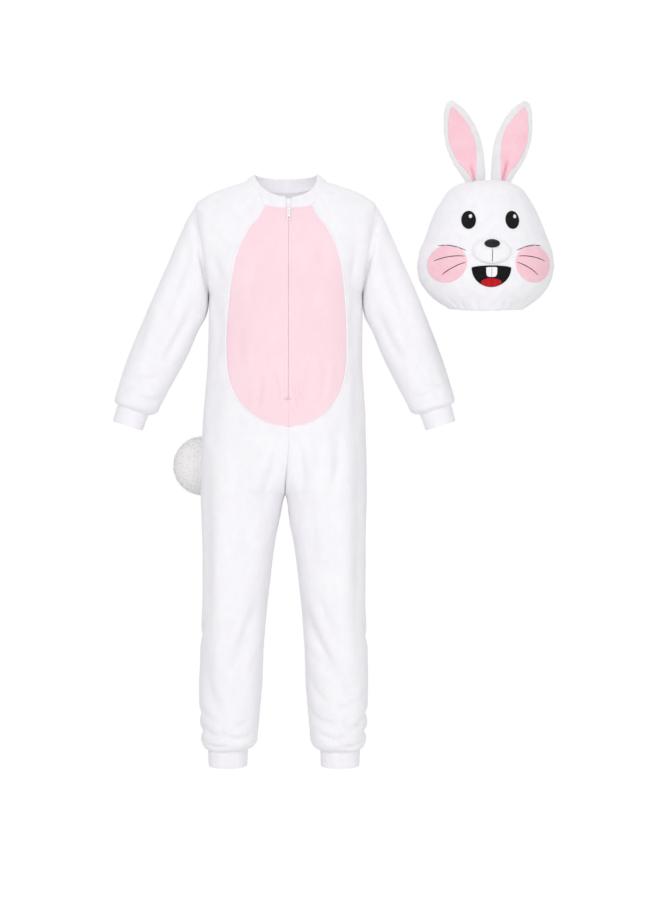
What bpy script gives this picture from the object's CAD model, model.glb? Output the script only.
import math

import bpy
import numpy as np
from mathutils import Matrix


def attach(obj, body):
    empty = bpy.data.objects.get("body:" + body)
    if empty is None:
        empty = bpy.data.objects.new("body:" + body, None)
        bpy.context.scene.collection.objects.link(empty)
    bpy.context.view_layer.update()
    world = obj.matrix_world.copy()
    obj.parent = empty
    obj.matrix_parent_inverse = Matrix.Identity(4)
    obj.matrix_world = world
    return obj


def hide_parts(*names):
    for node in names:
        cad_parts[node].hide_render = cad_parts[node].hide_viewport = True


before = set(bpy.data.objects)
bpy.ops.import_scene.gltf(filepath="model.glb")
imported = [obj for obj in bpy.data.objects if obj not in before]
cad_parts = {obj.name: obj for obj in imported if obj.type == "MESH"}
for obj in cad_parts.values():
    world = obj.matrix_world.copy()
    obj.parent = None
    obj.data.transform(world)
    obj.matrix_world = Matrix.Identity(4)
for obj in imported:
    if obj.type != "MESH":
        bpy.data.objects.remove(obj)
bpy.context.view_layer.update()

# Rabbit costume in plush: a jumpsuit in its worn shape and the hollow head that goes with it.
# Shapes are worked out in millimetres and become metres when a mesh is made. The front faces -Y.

mm = 0.001
sides = {"right": -1, "left": 1}  # the wearer's right is at -X
rng = np.random.default_rng(11)


# Materials

def linear(hexColour):
    # an sRGB hex value as linear red, green, blue and alpha
    parts = [int(hexColour[k:k + 2], 16) / 255 for k in (1, 3, 5)]
    return tuple(c / 12.92 if c <= 0.04045 else ((c + 0.055) / 1.055) ** 2.4 for c in parts) + (1.0,)


def addNode(tree, kind, values=(), links=(), **settings):
    # one node with its settings, its sockets' constants and what is linked into it
    node = tree.nodes.new(kind)
    for name, value in settings.items():
        setattr(node, name, value)
    for name, value in dict(values).items():
        node.inputs[name].default_value = value
    for name, source in dict(links).items():
        tree.links.new(source, node.inputs[name])
    return node


def addNoise(tree, size, place, detail, roughness=0.5):
    # noise with a grain of so many millimetres
    values = {"Scale": 1000 / size, "Detail": detail, "Roughness": roughness}
    return addNode(tree, "ShaderNodeTexNoise", values, {"Vector": place}).outputs["Fac"]


def addMath(tree, operation, *inputs):
    # a sum or a product of sockets and constants
    values = {k: value for k, value in enumerate(inputs) if isinstance(value, float)}
    links = {k: value for k, value in enumerate(inputs) if k not in values}
    return addNode(tree, "ShaderNodeMath", values, links, operation=operation).outputs[0]


# In every finish: the tufts' share in the colour, the fibres' in the relief, and where the two tones end
pattern = {"tufts": 0.5, "fibres": 0.6, "deepest": 0.55, "lightest": 0.95}


def makeFinish(name, recipe):
    # colour drifts between two tones with the lie of the pile, and the pile itself is a fine bump;
    # every pattern's scale is one over its real size
    made = bpy.data.materials.new(name)
    made.use_nodes = True
    tree = made.node_tree
    shader = tree.nodes["Principled BSDF"]
    place = addNode(tree, "ShaderNodeTexCoord").outputs["Object"]
    lie = addNode(tree, "ShaderNodeMapping", {"Scale": recipe.get("stretch", (1, 1, 1))}, {"Vector": place})
    drift = addNoise(tree, recipe["patch"], lie.outputs["Vector"], 4.0, 0.6)
    tuft = addNoise(tree, recipe["tuft"], lie.outputs["Vector"], 3.0, 0.65)
    fibre = addNoise(tree, recipe["fibre"], place, 2.0)
    total = addMath(tree, "ADD", addMath(tree, "MULTIPLY", tuft, pattern["tufts"]), drift)
    spread = addNode(tree, "ShaderNodeMapRange",
                     {"From Min": pattern["deepest"], "From Max": pattern["lightest"]}, {"Value": total})
    tones = {"Color1": linear(recipe["deep"]), "Color2": linear(recipe["light"])}
    colour = addNode(tree, "ShaderNodeMixRGB", tones, {"Fac": spread.outputs["Result"]})
    relief = addMath(tree, "ADD", addMath(tree, "MULTIPLY", fibre, pattern["fibres"]), tuft)
    bump = addNode(tree, "ShaderNodeBump", {"Strength": recipe["bump"], "Distance": recipe["pile"] * mm},
                   {"Height": relief})
    tree.links.new(colour.outputs["Color"], shader.inputs["Base Color"])
    tree.links.new(bump.outputs["Normal"], shader.inputs["Normal"])
    for socket, value in recipe["shader"].items():
        shader.inputs[socket].default_value = value
    return made


soft = {"Roughness": 0.95, "Specular IOR Level": 0.15, "Sheen Weight": 0.22, "Sheen Roughness": 0.45}
finishRecipes = {
    # polyester plush: matt, a lavender-grey white that turns a little with the lie of the pile
    "white polyester plush": {
        "light": "#F3F2F5", "deep": "#EFEDF2", "patch": 26, "tuft": 3.2, "fibre": 1.0, "pile": 0.5,
        "bump": 0.35, "stretch": (1, 1, 0.55), "shader": soft},
    # the same plush dyed pale pink: more even, a little warmer where the pile stands up
    "pale pink polyester plush": {
        "light": "#F7DBE3", "deep": "#F5D5DE", "patch": 60, "tuft": 3.2, "fibre": 1.0, "pile": 0.5,
        "bump": 0.32, "stretch": (1, 1, 0.6), "shader": soft},
    # short pink plush inside the ears and on the cheeks: the same dye on a lower pile, so it shows deeper
    "pink short plush": {
        "light": "#F7CDD7", "deep": "#F4C2CE", "patch": 40, "tuft": 3.2, "fibre": 0.9, "pile": 0.6,
        "bump": 0.34, "shader": soft},
    # brushed knit of the cuffs and collar: a shorter pile, so smoother and slightly brighter
    "white brushed knit": {
        "light": "#F3F1F6", "deep": "#EEECF2", "patch": 14, "tuft": 2.4, "fibre": 0.9, "pile": 0.5,
        "bump": 0.3, "stretch": (1, 1, 0.3), "shader": soft},
    # acrylic fur: greyish and matt, darker between the locks
    "grey-white acrylic fur": {
        "light": "#FFFEFE", "deep": "#FAF8F8", "patch": 14, "tuft": 3.0, "fibre": 0.7, "pile": 0.3,
        "bump": 0.3, "shader": {**soft, "Sheen Weight": 0.3}},
    # foam-backed plush of the head: taut, so its pile lies smoother
    "foam-backed white plush": {
        "light": "#F4F3F6", "deep": "#EFEDF2", "patch": 22, "tuft": 3.6, "fibre": 1.0, "pile": 0.7,
        "bump": 0.34, "shader": soft},
    # the ears' plush, brushed the other way: greyer, because the eye looks into its pile
    "white ear plush": {
        "light": "#E9E8EA", "deep": "#E3E1E5", "patch": 22, "tuft": 3.6, "fibre": 1.0, "pile": 0.7,
        "bump": 0.34, "shader": soft},
    # wool-mix felt: dead matt with short crossed fibres
    "black felt": {
        "light": "#1B1A1C", "deep": "#0C0B0D", "patch": 9, "tuft": 1.6, "fibre": 0.6, "pile": 0.3,
        "bump": 0.5, "shader": {**soft, "Sheen Weight": 0.1}},
    "red felt": {
        "light": "#C81A24", "deep": "#A91019", "patch": 9, "tuft": 1.6, "fibre": 0.6, "pile": 0.3,
        "bump": 0.5, "shader": soft},
    "white felt": {
        "light": "#F7F6F8", "deep": "#EAE9EC", "patch": 9, "tuft": 1.6, "fibre": 0.6, "pile": 0.3,
        "bump": 0.4, "shader": soft},
    # satin: a tight smooth weave that catches a soft streak of light
    "black polyester satin": {
        "light": "#161416", "deep": "#0B0A0B", "patch": 12, "tuft": 1.2, "fibre": 0.5, "pile": 0.1,
        "bump": 0.2, "shader": {"Roughness": 0.5, "Specular IOR Level": 0.3}},
    # spun polyester thread: a slight gloss, dyed to match what it sews
    "pink polyester thread": {
        "light": "#FADCE3", "deep": "#F3C8D2", "patch": 5, "tuft": 1.0, "fibre": 0.4, "pile": 0.1,
        "bump": 0.3, "shader": {"Roughness": 0.6, "Specular IOR Level": 0.4, "Sheen Weight": 0.1}},
    "black polyester thread": {
        "light": "#121112", "deep": "#080708", "patch": 5, "tuft": 1.0, "fibre": 0.4, "pile": 0.1,
        "bump": 0.3, "shader": {"Roughness": 0.55, "Specular IOR Level": 0.4}},
    "white polyester thread": {
        "light": "#F4F3F6", "deep": "#DFDDE4", "patch": 5, "tuft": 1.0, "fibre": 0.4, "pile": 0.1,
        "bump": 0.3, "shader": {"Roughness": 0.6, "Specular IOR Level": 0.4}},
    # woven zip tape, dyed pink: flat and close
    "pink woven tape": {
        "light": "#F3C9D2", "deep": "#EAB6C2", "patch": 6, "tuft": 1.0, "fibre": 0.5, "pile": 0.15,
        "bump": 0.4, "shader": {"Roughness": 0.75, "Specular IOR Level": 0.3}},
    # moulded nylon coil: smooth, a little glossy
    "pink nylon coil": {
        "light": "#FCE3E8", "deep": "#F8D8DF", "patch": 8, "tuft": 2.0, "fibre": 0.8, "pile": 0.03,
        "bump": 0.1, "shader": {"Roughness": 0.4, "Specular IOR Level": 0.5}},
    # zinc casting under white enamel: a thick glossy coat
    "white enamelled zinc": {
        "light": "#FFFFFF", "deep": "#FAF9FB", "patch": 6, "tuft": 2.0, "fibre": 0.8, "pile": 0.03,
        "bump": 0.08,
        "shader": {"Roughness": 0.25, "Specular IOR Level": 0.5, "Coat Weight": 0.4, "Coat Roughness": 0.12}},
    # bare zinc, tarnished where the enamel is left off round the pull's eyes: dark and dull
    "tarnished zinc": {
        "light": "#5B4A50", "deep": "#43363B", "patch": 4, "tuft": 1.0, "fibre": 0.4, "pile": 0.03,
        "bump": 0.1, "shader": {"Roughness": 0.7, "Metallic": 0.3, "Specular IOR Level": 0.3}},
}
finishes = {name: makeFinish(name, recipe) for name, recipe in finishRecipes.items()}


# Curves, grids and meshes

def smoothCurve(knots, values, where):
    # a cubic through the values at the knots that never overshoots them, read at where
    knots, values, where = (np.asarray(a, float) for a in (knots, values, where))
    step = np.diff(knots)
    slope = np.diff(values) / step
    before, after = slope[:-1], slope[1:]
    sameWay = before * after > 0
    tangent = np.zeros(len(knots))
    tangent[1:-1][sameWay] = 2 * before[sameWay] * after[sameWay] / (before + after)[sameWay]
    tangent[0], tangent[-1] = slope[0], slope[-1]
    cell = np.clip(np.searchsorted(knots, where, side="right") - 1, 0, len(step) - 1)
    u = (where - knots[cell]) / step[cell]
    rise = u * (1 - u) ** 2 * tangent[cell] - u * u * (1 - u) * tangent[cell + 1]
    return values[cell] * (1 + 2 * u) * (1 - u) ** 2 + values[cell + 1] * u * u * (3 - 2 * u) + rise * step[cell]


def readTable(table, where):
    # every column of a table after its first, as curves read at where
    table = np.asarray(table, float)
    return [smoothCurve(table[:, 0], table[:, k], where) for k in range(1, table.shape[1])]


def unitOf(ways):
    return ways / np.linalg.norm(ways, axis=-1, keepdims=True)


def ramp(value, start, end):
    # 0 up to the start, 1 from the end on and straight between; the end may be the lower of the two
    return np.clip((value - start) / (end - start), 0, 1)


def smoothStep(share):
    # from 0 to 1, level at both ends
    return share ** 2 * (3 - 2 * share)


def bell(away, width):
    return np.exp(-(away / width) ** 2)


def roundedRim(away, width, least):
    # the share of a wall's thickness near its free edge: a quarter circle, whose square is at least least
    return np.sqrt(np.clip(1 - (1 - np.minimum(away / width, 1)) ** 2, least, 1))


def seamProfile(away, swell, swellAt, swellHalf, groove, grooveHalf):
    # a groove along a seam, and a low swell beside it
    return swell * bell(away - swellAt, swellHalf) - groove * bell(away, grooveHalf)


def bentLine(start, through, end, share):
    # a parabola from start to end, by way of a point halfway
    control = 2 * through - (start + end) / 2
    return (1 - share) ** 2 * start + 2 * share * (1 - share) * control + share ** 2 * end


def interpRows(where, at, rows):
    # each column of rows that are known at rising values, read at where
    return np.stack([np.interp(where, at, rows[:, k]) for k in range(rows.shape[1])], -1)


def alongLength(points):
    # how far along a line each of its points is
    return np.concatenate([[0.0], np.cumsum(np.linalg.norm(np.diff(points, axis=0), axis=1))])


def evenly(edge, low, high, step):
    # values from low to high that are step apart along the curve edge(value)
    dense = np.linspace(low, high, 500)
    length = alongLength(edge(dense))
    count = max(2, int(round(length[-1] / step)))
    return np.interp(np.linspace(0, length[-1], count + 1), length, dense)


def joined(*lists):
    # lists of rising values that share their ends, as one
    return np.concatenate([lists[0]] + [part[1:] for part in lists[1:]])


def spacedRows(edge, start, runs):
    # rows of a grid along the curve edge(value): each run goes on to its first number, in steps of its second
    starts = [start] + [end for end, _ in runs[:-1]]
    return joined(*[evenly(edge, low, high, step) for low, (high, step) in zip(starts, runs)])


def clustered(count, pull):
    # shares from 0 to 1 that crowd towards both ends
    even = np.linspace(0, 1, count + 1)
    return even - pull * np.sin(2 * np.pi * even) / (2 * np.pi)


def gridCells(rows, columns, flip=False, closed=False):
    # four corners for each cell of a grid of points; closed joins the last column to the first
    i, j = np.meshgrid(np.arange(rows - 1), np.arange(columns if closed else columns - 1), indexing="ij")
    k = (j + 1) % columns
    cells = np.stack([i * columns + j, (i + 1) * columns + j, (i + 1) * columns + k, i * columns + k], -1)
    cells = cells.reshape(-1, 4)
    return cells[:, ::-1] if flip else cells


def normalsOf(pieces):
    # unit normals of every piece's points, shared where pieces meet, from {name: (points, cells)}
    sums, places = [], []
    for points, cells in pieces.values():
        across = np.cross(points[cells[:, 2]] - points[cells[:, 0]], points[cells[:, 3]] - points[cells[:, 1]])
        found = np.zeros_like(points)
        for k in range(4):
            np.add.at(found, cells[:, k], across)
        sums.append(found)
        places.append(np.round(points, 3) + 0.0)
    _, index = np.unique(np.concatenate(places), axis=0, return_inverse=True)
    index = index.reshape(-1)
    sums = np.concatenate(sums)
    total = np.zeros((index.max() + 1, 3))
    np.add.at(total, index, sums)
    shared = total[index]
    shared /= np.maximum(np.linalg.norm(shared, axis=1, keepdims=True), 1e-9)
    ends = np.cumsum([len(points) for points, _ in pieces.values()])
    return dict(zip(pieces, np.split(shared, ends[:-1])))


def ownNormals(points, cells):
    # the normals of one piece by itself
    return normalsOf({"": (points, cells)})[""]


def weld(points, cells, *others):
    # points that coincide become one; a cell with two equal corners becomes a triangle, its third corner
    # twice
    _, first, index = np.unique(np.round(points, 3) + 0.0, axis=0, return_index=True, return_inverse=True)
    cells = index.reshape(-1)[cells]
    same = cells == np.roll(cells, -1, axis=1)
    kept = [cells[~same.any(axis=1)]]
    for k in range(4):
        only = same[:, k] & (same.sum(axis=1) == 1)
        kept.append(np.roll(cells[only], 2 - k, axis=1))
    return (points[first], np.concatenate(kept), *(other[first] for other in others))


def rimEdges(cells, count):
    # directed edges that only one cell has
    start = cells.ravel()
    end = np.roll(cells, -1, axis=1).ravel()
    real = start != end
    start, end = start[real].astype(np.int64), end[real].astype(np.int64)
    alone = ~np.isin(start * count + end, end * count + start)
    return start[alone], end[alone]


def turnedOver(cells):
    # the same cells facing the other way
    return np.where((cells[:, 2] == cells[:, 3])[:, None], cells[:, [1, 0, 2, 2]], cells[:, ::-1])


def shell(points, cells, normals, thickness, lift=0.0):
    # a closed wall: the surface moved out and in along its normals by half the thickness, and a rim between
    count = len(points)
    half = np.broadcast_to(np.asarray(thickness, float) / 2, count)[:, None]
    lift = np.broadcast_to(np.asarray(lift, float), count)[:, None]
    start, end = rimEdges(cells, count)
    rim = np.stack([end, start, start + count, end + count], -1)
    both = np.concatenate([points + normals * (lift + half), points + normals * (lift - half)])
    return both, np.concatenate([cells, turnedOver(cells) + count, rim])


def addPiece(name, points, cells, finish, slot, body="costume", crease=50):
    # one object at the origin from points in millimetres
    mesh = bpy.data.meshes.new(name)
    corners = np.ones(cells.shape, bool)
    corners[:, 3] = cells[:, 2] != cells[:, 3]
    loops = cells[corners]
    counts = corners.sum(axis=1)
    mesh.vertices.add(len(points))
    mesh.vertices.foreach_set("co", (np.asarray(points) * mm).astype(np.float32).ravel())
    mesh.loops.add(len(loops))
    mesh.loops.foreach_set("vertex_index", loops.astype(np.int32))
    mesh.polygons.add(len(cells))
    mesh.polygons.foreach_set("loop_start", np.concatenate([[0], np.cumsum(counts)[:-1]]).astype(np.int32))
    mesh.update(calc_edges=True)
    mesh.validate()
    mesh.materials.append(finishes[finish])
    mesh.shade_smooth()
    mesh.set_sharp_from_angle(angle=math.radians(crease))
    made = bpy.data.objects.new(name, mesh)
    bpy.context.scene.collection.objects.link(made)
    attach(made, body)
    return made


def mirrored(points, side):
    return points * np.array([sides[side], 1, 1])


# The zip hangs to the wearer's left of the middle: how far, within what half width, at which height that
# begins to fade and at which it is gone, and how far forwards the cloth lies that moves in full
lean = {"shift": 9.5, "width": 200, "full": -640, "none": -760, "depth": 90}
# The sides and legs hang to the wearer's right: how far, the heights at which that begins and is full, the
# half width at which it is full, and the heights between which the inner legs join in
sway = {"shift": -5.0, "none": -230, "full": -620, "width": 190, "crotch": -700, "legs": -860}


def leaning(points):
    # points of the front moved sideways: (1 - x^4)^2 across, and smooth steps down and backwards; then all
    # swayed
    points = np.array(points, float)
    near = np.clip(1 - (points[:, 0] / lean["width"]) ** 4, 0, 1) ** 2
    high = smoothStep(ramp(points[:, 2], lean["none"], lean["full"]))
    ahead = smoothStep(ramp(-points[:, 1], 0, lean["depth"]))
    points[:, 0] += lean["shift"] * near * high * ahead
    down = ramp(points[:, 2], sway["none"], sway["full"])
    legs = smoothStep(ramp(points[:, 2], sway["crotch"], sway["legs"]))
    aside = ramp(np.abs(points[:, 0]), 0, sway["width"]) ** 2
    points[:, 0] += sway["shift"] * down * (aside + (1 - aside) * legs)
    return points


# The unevenness of each cloth: height, wavelength, seed and, where it isn't even, stretch
ripples = {
    "billow": (0.9, 150, 3, (1, 1, 0.45)),
    "slack": (0.15, 46, 5, (1, 1, 0.6)),
    "pile": (0.04, 15, 9),
    "seam pucker": (0.35, 17, 27),
    "cuff gathers": (0.9, 24, 33, (1, 1, 0.2)),
    "head pucker": (0.45, 19, 61),
    "head swell": (1.1, 120, 63),
    "head dent": (0.35, 40, 65),
    "head pile": (0.1, 13, 67),
    "ear slack": (0.35, 34, 71),
    "ear pile": (0.08, 11, 73),
    "lining slack": (0.3, 30, 75),
    "lining pile": (0.07, 10, 77),
    "pad pile": (0.12, 11, 81),
}


def rippled(name, points, other=0):
    # smooth noise: the mean of sines in random directions, about wavelength long; other picks another seed
    height, wavelength, seed, stretch = (*ripples[name], (1, 1, 1))[:4]
    waves = 9
    draw = np.random.default_rng(seed + other)
    ways = unitOf(draw.normal(size=(waves, 3)))
    ways *= 2 * np.pi / wavelength * draw.uniform(0.6, 1.5, (waves, 1)) * np.array(stretch)
    return height * (np.sin(points @ ways.T + draw.uniform(0, 2 * np.pi, waves)).sum(axis=1) / math.sqrt(waves))


def puckers(name, points, away, reach, clear, other=0):
    # ripples beside an edge, which start a little way off it and fade by their reach
    return rippled(name, points, other) * bell(away, reach) * (1 - bell(away, clear))


# The jumpsuit

jumpsuit = {
    # station, z of the front, side and back, x of the side and of the leg's middle, y of the front, side and
    # back
    "sections": (
        (0, -59, 18, 5, 101, 0, -92, -8, 70),
        (1, -80, 3, -17, 144, 0, -101, -4, 90),
        (2, -106, -10.5, -48, 181, 0, -109, -2, 103),
        (3, -132, -23.5, -80, 206, 0, -115, 0, 110),
        (4, -158, -40, -112, 225, 0, -120, 0, 113),
        (8, -222, -151, -195, 207, 0, -126, 0, 112),
        (12, -290, -262, -285, 190, 0, -128, 0, 108),
        (13, -345, -330, -345, 190, 0, -128, 0, 103),
        (14, -420, -420, -420, 191, 0, -127, 0, 99),
        (15, -500, -500, -500, 196, 0, -126, 0, 101),
        (16, -575, -575, -575, 201, 0, -125, 0, 108),
        (17, -620, -620, -620, 203, 8, -123, 0, 114),
        (18, -665, -665, -665, 205, 38, -121, 0, 117),
        (19, -705, -705, -705, 206, 72, -118, 0, 118),
        (20, -742, -742, -742, 206.5, 95, -116, 0, 118),
        (21, -760, -760, -760, 206.8, 103.4, -114, 0, 117),
        (22, -782, -782, -782, 207, 107, -111, 0, 114),
        (23, -825, -825, -825, 206, 110, -107, 0, 110),
        (24, -875, -875, -875, 205.5, 115, -104, 0, 106),
        (25, -925, -925, -925, 205, 118.5, -101, 0, 102),
        (26, -1025, -1025, -1025, 205, 124, -96, 0, 96),
        (27, -1125, -1125, -1125, 207, 129, -90, 0, 91),
        (28, -1175, -1175, -1175, 209, 131.5, -86, 0, 88),
        (29, -1225, -1225, -1225, 210, 133, -82, 0, 86),
        (30, -1275, -1275, -1275, 209, 134.5, -80, 0, 84),
        (31, -1320, -1320, -1320, 206.5, 135.3, -78, 0, 82),
        (32, -1350, -1350, -1350, 205, 136, -77, 0, 80),
        (33, -1374, -1374, -1374, 204, 136.5, -74, 0, 77),
        (34, -1388, -1388, -1388, 199, 138, -66, 0, 69),
        (35, -1398, -1398, -1398, 189.5, 140.2, -50, 0, 52),
        (36, -1438, -1438, -1438, 187, 140, -47, 0, 48),
    ),
    "tip": 4, "pit": 12, "hem": 35, "cuffEnd": 36,  # stations of the armhole's ends, the hem and the cuff's end
    "armhole": {"topX": 225, "topZ": -40, "pitX": 190, "pitZ": -262, "depth": 64, "slope": 0.6},
    # station, x and z of the sleeve's outer outline, x and z of its inner outline, and half its depth
    "sleeve": (
        (0, 225, -40, 190, -262, 64),
        (1, 243, -70, 193.2, -269, 66),
        (2, 266, -122, 194, -289, 68),
        (3, 292, -186, 199, -314, 69),
        (4, 325, -260, 218, -351, 68),
        (5, 357, -335, 243, -410, 65),
        (6, 385, -405, 268, -460, 61),
        (7, 408, -472, 292, -505, 57),
        (8, 419, -510, 308, -536, 54),
        (9, 423, -526, 319, -556, 50),
        (10, 417, -538, 339, -563, 37.5),
        (11, 427, -578, 355, -601, 35),
    ),
    "sleeveEnd": 10,
    # the pink belly's edge on one side
    "bellyX": (48, 74, 93, 104, 114, 122.5, 129, 133.5, 137.5, 141, 143.5, 145.5, 146.7, 147, 142.5, 133, 122.5,
               116, 94, 68, 40, 12),
    "bellyZ": (0, -83, -105, -125, -145, -170, -194, -222, -250, -280, -311, -341, -371, -425, -468, -502, -522,
               -532, -556, -575, -587, -592),
    "bellyBottom": -593.5,
    # the neckline dips on either side of the zip: by how many stations, and where and how far across
    "dip": 0.42, "dipAt": 0.3, "dipHalf": 0.13,
    "zipHalf": 0.45, "zipBottom": -526,
    "slotOpens": (-70, -59),  # heights between which the zip's slot widens to the collar's gap
    "fuller": 0.92,  # under 1 makes a cross-section fuller than an ellipse
    # each point is a mean over a span of stations: the places in the span with their shares, its size, its
    # power towards the side, and the stations between which it opens and closes
    "meanSteps": ((-1, 0.07), (-0.66, 0.15), (-0.33, 0.18), (0, 0.2), (0.33, 0.18), (0.66, 0.15), (1, 0.07)),
    "meanSpan": 1.9, "meanPower": 0.6, "meanOpens": (0, 4), "meanCloses": (12.5, 6.5),
    "plush": 2.4, "rib": 2.2,  # thickness of the cloth
    "rim": (1.6, 0.03),  # of a knit band's folded edge
    # rows of the grids: the last station of each stretch, and how far apart its rows are
    "upperRows": ((4, 5.6), (12, 5.6), (17.6, 5.6)),
    "lowerRows": ((19, 5.6), (20, 2.4), (21, 1.0), (22, 3), (32.5, 5.6), (35, 2.0)),
    "sleeveRows": ((8, 5.6), (10, 2.0)), "wristRows": ((11, 3.0),), "ankleRows": 15,
    # stations of the side seam: level with the belly's end, and where the rows run level again
    "bellyEnd": 17.6, "levelFrom": 20,
    # columns of the grids, and how much they crowd towards the edges
    "frontColumns": (60, 0.6), "bellyColumns": (30, 0.5), "backColumns": (62, 0.5),
}


def armholePoint(turn):
    # a tilted half ellipse: cosine runs from the shoulder to the armpit, sine forwards
    hole = jumpsuit["armhole"]
    share = (1 + np.cos(turn)) / 2
    x = hole["pitX"] + (hole["topX"] - hole["pitX"]) * share
    z = hole["pitZ"] + (hole["topZ"] - hole["pitZ"]) * share
    return x, -hole["depth"] * np.sin(turn), z


def bodyPoint(across, station, back=False):
    # the mean of plainBody over a span of stations that narrows to nothing at the side and at the neckline,
    # so that the start of the armhole doesn't show as a ridge across the chest
    across, station = np.broadcast_arrays(np.asarray(across, float), np.asarray(station, float))
    span = jumpsuit["meanSpan"] * np.clip(1 - across, 0, 1) ** jumpsuit["meanPower"]
    span = span * ramp(station, *jumpsuit["meanOpens"]) * ramp(station, *jumpsuit["meanCloses"])
    return sum(share * plainBody(across, station + span * step, back) for step, share in jumpsuit["meanSteps"])


def plainBody(across, station, back):
    # a superellipse's quarter round the left half of the body, from the centre or the inseam (0) to the side
    # (1)
    zFront, zSide, zBack, xSide, xLeg, yFront, ySide, yBack = readTable(jumpsuit["sections"], station)
    tip, pit = jumpsuit["tip"], jumpsuit["pit"]
    turn = np.pi * ramp(station, tip, pit)
    atHole = (station > tip) & (station < pit)
    ringX, ringY, ringZ = armholePoint(turn)
    xSide = np.where(atHole, ringX, xSide)
    zSide = np.where(atHole, ringZ, zSide)
    ySide = np.where(atHole, -ringY if back else ringY, ySide)
    radius = xSide - xLeg
    start = -np.arcsin(np.clip(xLeg / radius, 0, 1))
    angle = start + (np.pi / 2 - start) * across
    straight = jumpsuit["armhole"]["slope"] * np.sin(turn)
    outward = (1 - straight) * np.sin(angle) + straight * angle / (np.pi / 2)
    yCentre, zCentre = (yBack, zBack) if back else (yFront, zFront)
    x = xLeg + radius * outward
    y = ySide + (yCentre - ySide) * np.maximum(np.cos(angle), 0) ** jumpsuit["fuller"]
    z = zCentre + (zSide - zCentre) * np.sin(angle) ** 2
    return np.stack([x, y, z], -1)


def sleevePoint(turn, station):
    # rings along the left sleeve: cosine runs from its outer to its inner outline, sine forwards
    outX, outZ, inX, inZ, depth = readTable(jumpsuit["sleeve"], station)
    share = (1 + np.cos(turn)) / 2
    return np.stack([inX + (outX - inX) * share, -depth * np.sin(turn), inZ + (outZ - inZ) * share], -1)


def placeOnFront(x, z):
    # the across and station of the front's points at x and z, by damped Newton steps from a rough guess
    nudge, rounds, damping, halfWidth = 1e-4, 60, 0.7, 200
    x, z = np.atleast_1d(np.asarray(x, float)), np.atleast_1d(np.asarray(z, float))
    sections = np.asarray(jumpsuit["sections"], float)
    station = np.interp(-z, -sections[:, 1], sections[:, 0])
    across = np.clip(x / halfWidth, 0, 1)
    for _ in range(rounds):
        here = bodyPoint(across, station)
        byAcross = (bodyPoint(across + nudge, station) - here) / nudge
        byStation = (bodyPoint(across, station + nudge) - here) / nudge
        offX, offZ = x - here[:, 0], z - here[:, 2]
        area = byAcross[:, 0] * byStation[:, 2] - byAcross[:, 2] * byStation[:, 0]
        moveAcross = damping * (offX * byStation[:, 2] - offZ * byStation[:, 0]) / area
        moveDown = damping * (byAcross[:, 0] * offZ - byAcross[:, 2] * offX) / area
        across = np.clip(across + moveAcross, 0, 1)
        station = np.clip(station + moveDown, 0, jumpsuit["hem"])
    return across, station


def sideSeam(stations):
    return bodyPoint(np.ones(len(stations)), stations)


def sleeveTop(stations):
    return sleevePoint(np.zeros(len(stations)), stations)


def ruled(inner, outer, shares):
    # rows of (across, station) pairs, straight between two lists of them
    return inner[:, None, :] + (outer - inner)[:, None, :] * shares[None, :, None]


def dipped(pairs):
    # across and station pairs moved down the body by the neckline's dip: a bell across that fades by station
    # 2
    across, station = pairs[..., 0], pairs[..., 1]
    dip = jumpsuit["dip"] * bell(across - jumpsuit["dipAt"], jumpsuit["dipHalf"])
    return np.stack([across, station + dip * ramp(station, 2, 0)], -1)


def bellyOutline(count):
    # the pink belly's edge as count pairs of across and station, even along its length
    samples = np.linspace(0, 1, 500)
    topAcross = np.interp(jumpsuit["bellyX"][0], bodyPoint(samples, 0.0)[:, 0], samples)
    x, z = np.array(jumpsuit["bellyX"], float), np.array(jumpsuit["bellyZ"], float)
    z[0] = bodyPoint([topAcross], [0.0])[0, 2]
    knots = alongLength(np.stack([x, z], -1))
    where = np.linspace(0, knots[-1], count)
    across, station = placeOnFront(smoothCurve(knots, x, where), smoothCurve(knots, z, where))
    across[0], station[0] = topAcross, 0.0
    return np.stack([across, station], -1)


def zipSlot(outline):
    # the belly's inner edge in across and station: a narrow slot that widens to the collar's gap, and shut
    # below
    centreZ = bodyPoint(np.zeros(len(outline)), outline[:, 1])[:, 2]
    half = np.where(centreZ > jumpsuit["zipBottom"], jumpsuit["zipHalf"], 0.0)
    half += (collar["openLow"] - jumpsuit["zipHalf"]) * ramp(centreZ, *jumpsuit["slotOpens"]) ** 2
    nearCentre = 0.01
    width = bodyPoint(np.full(len(outline), nearCentre), outline[:, 1])[:, 0] / nearCentre
    return np.stack([half / width, outline[:, 1]], -1)


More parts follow.
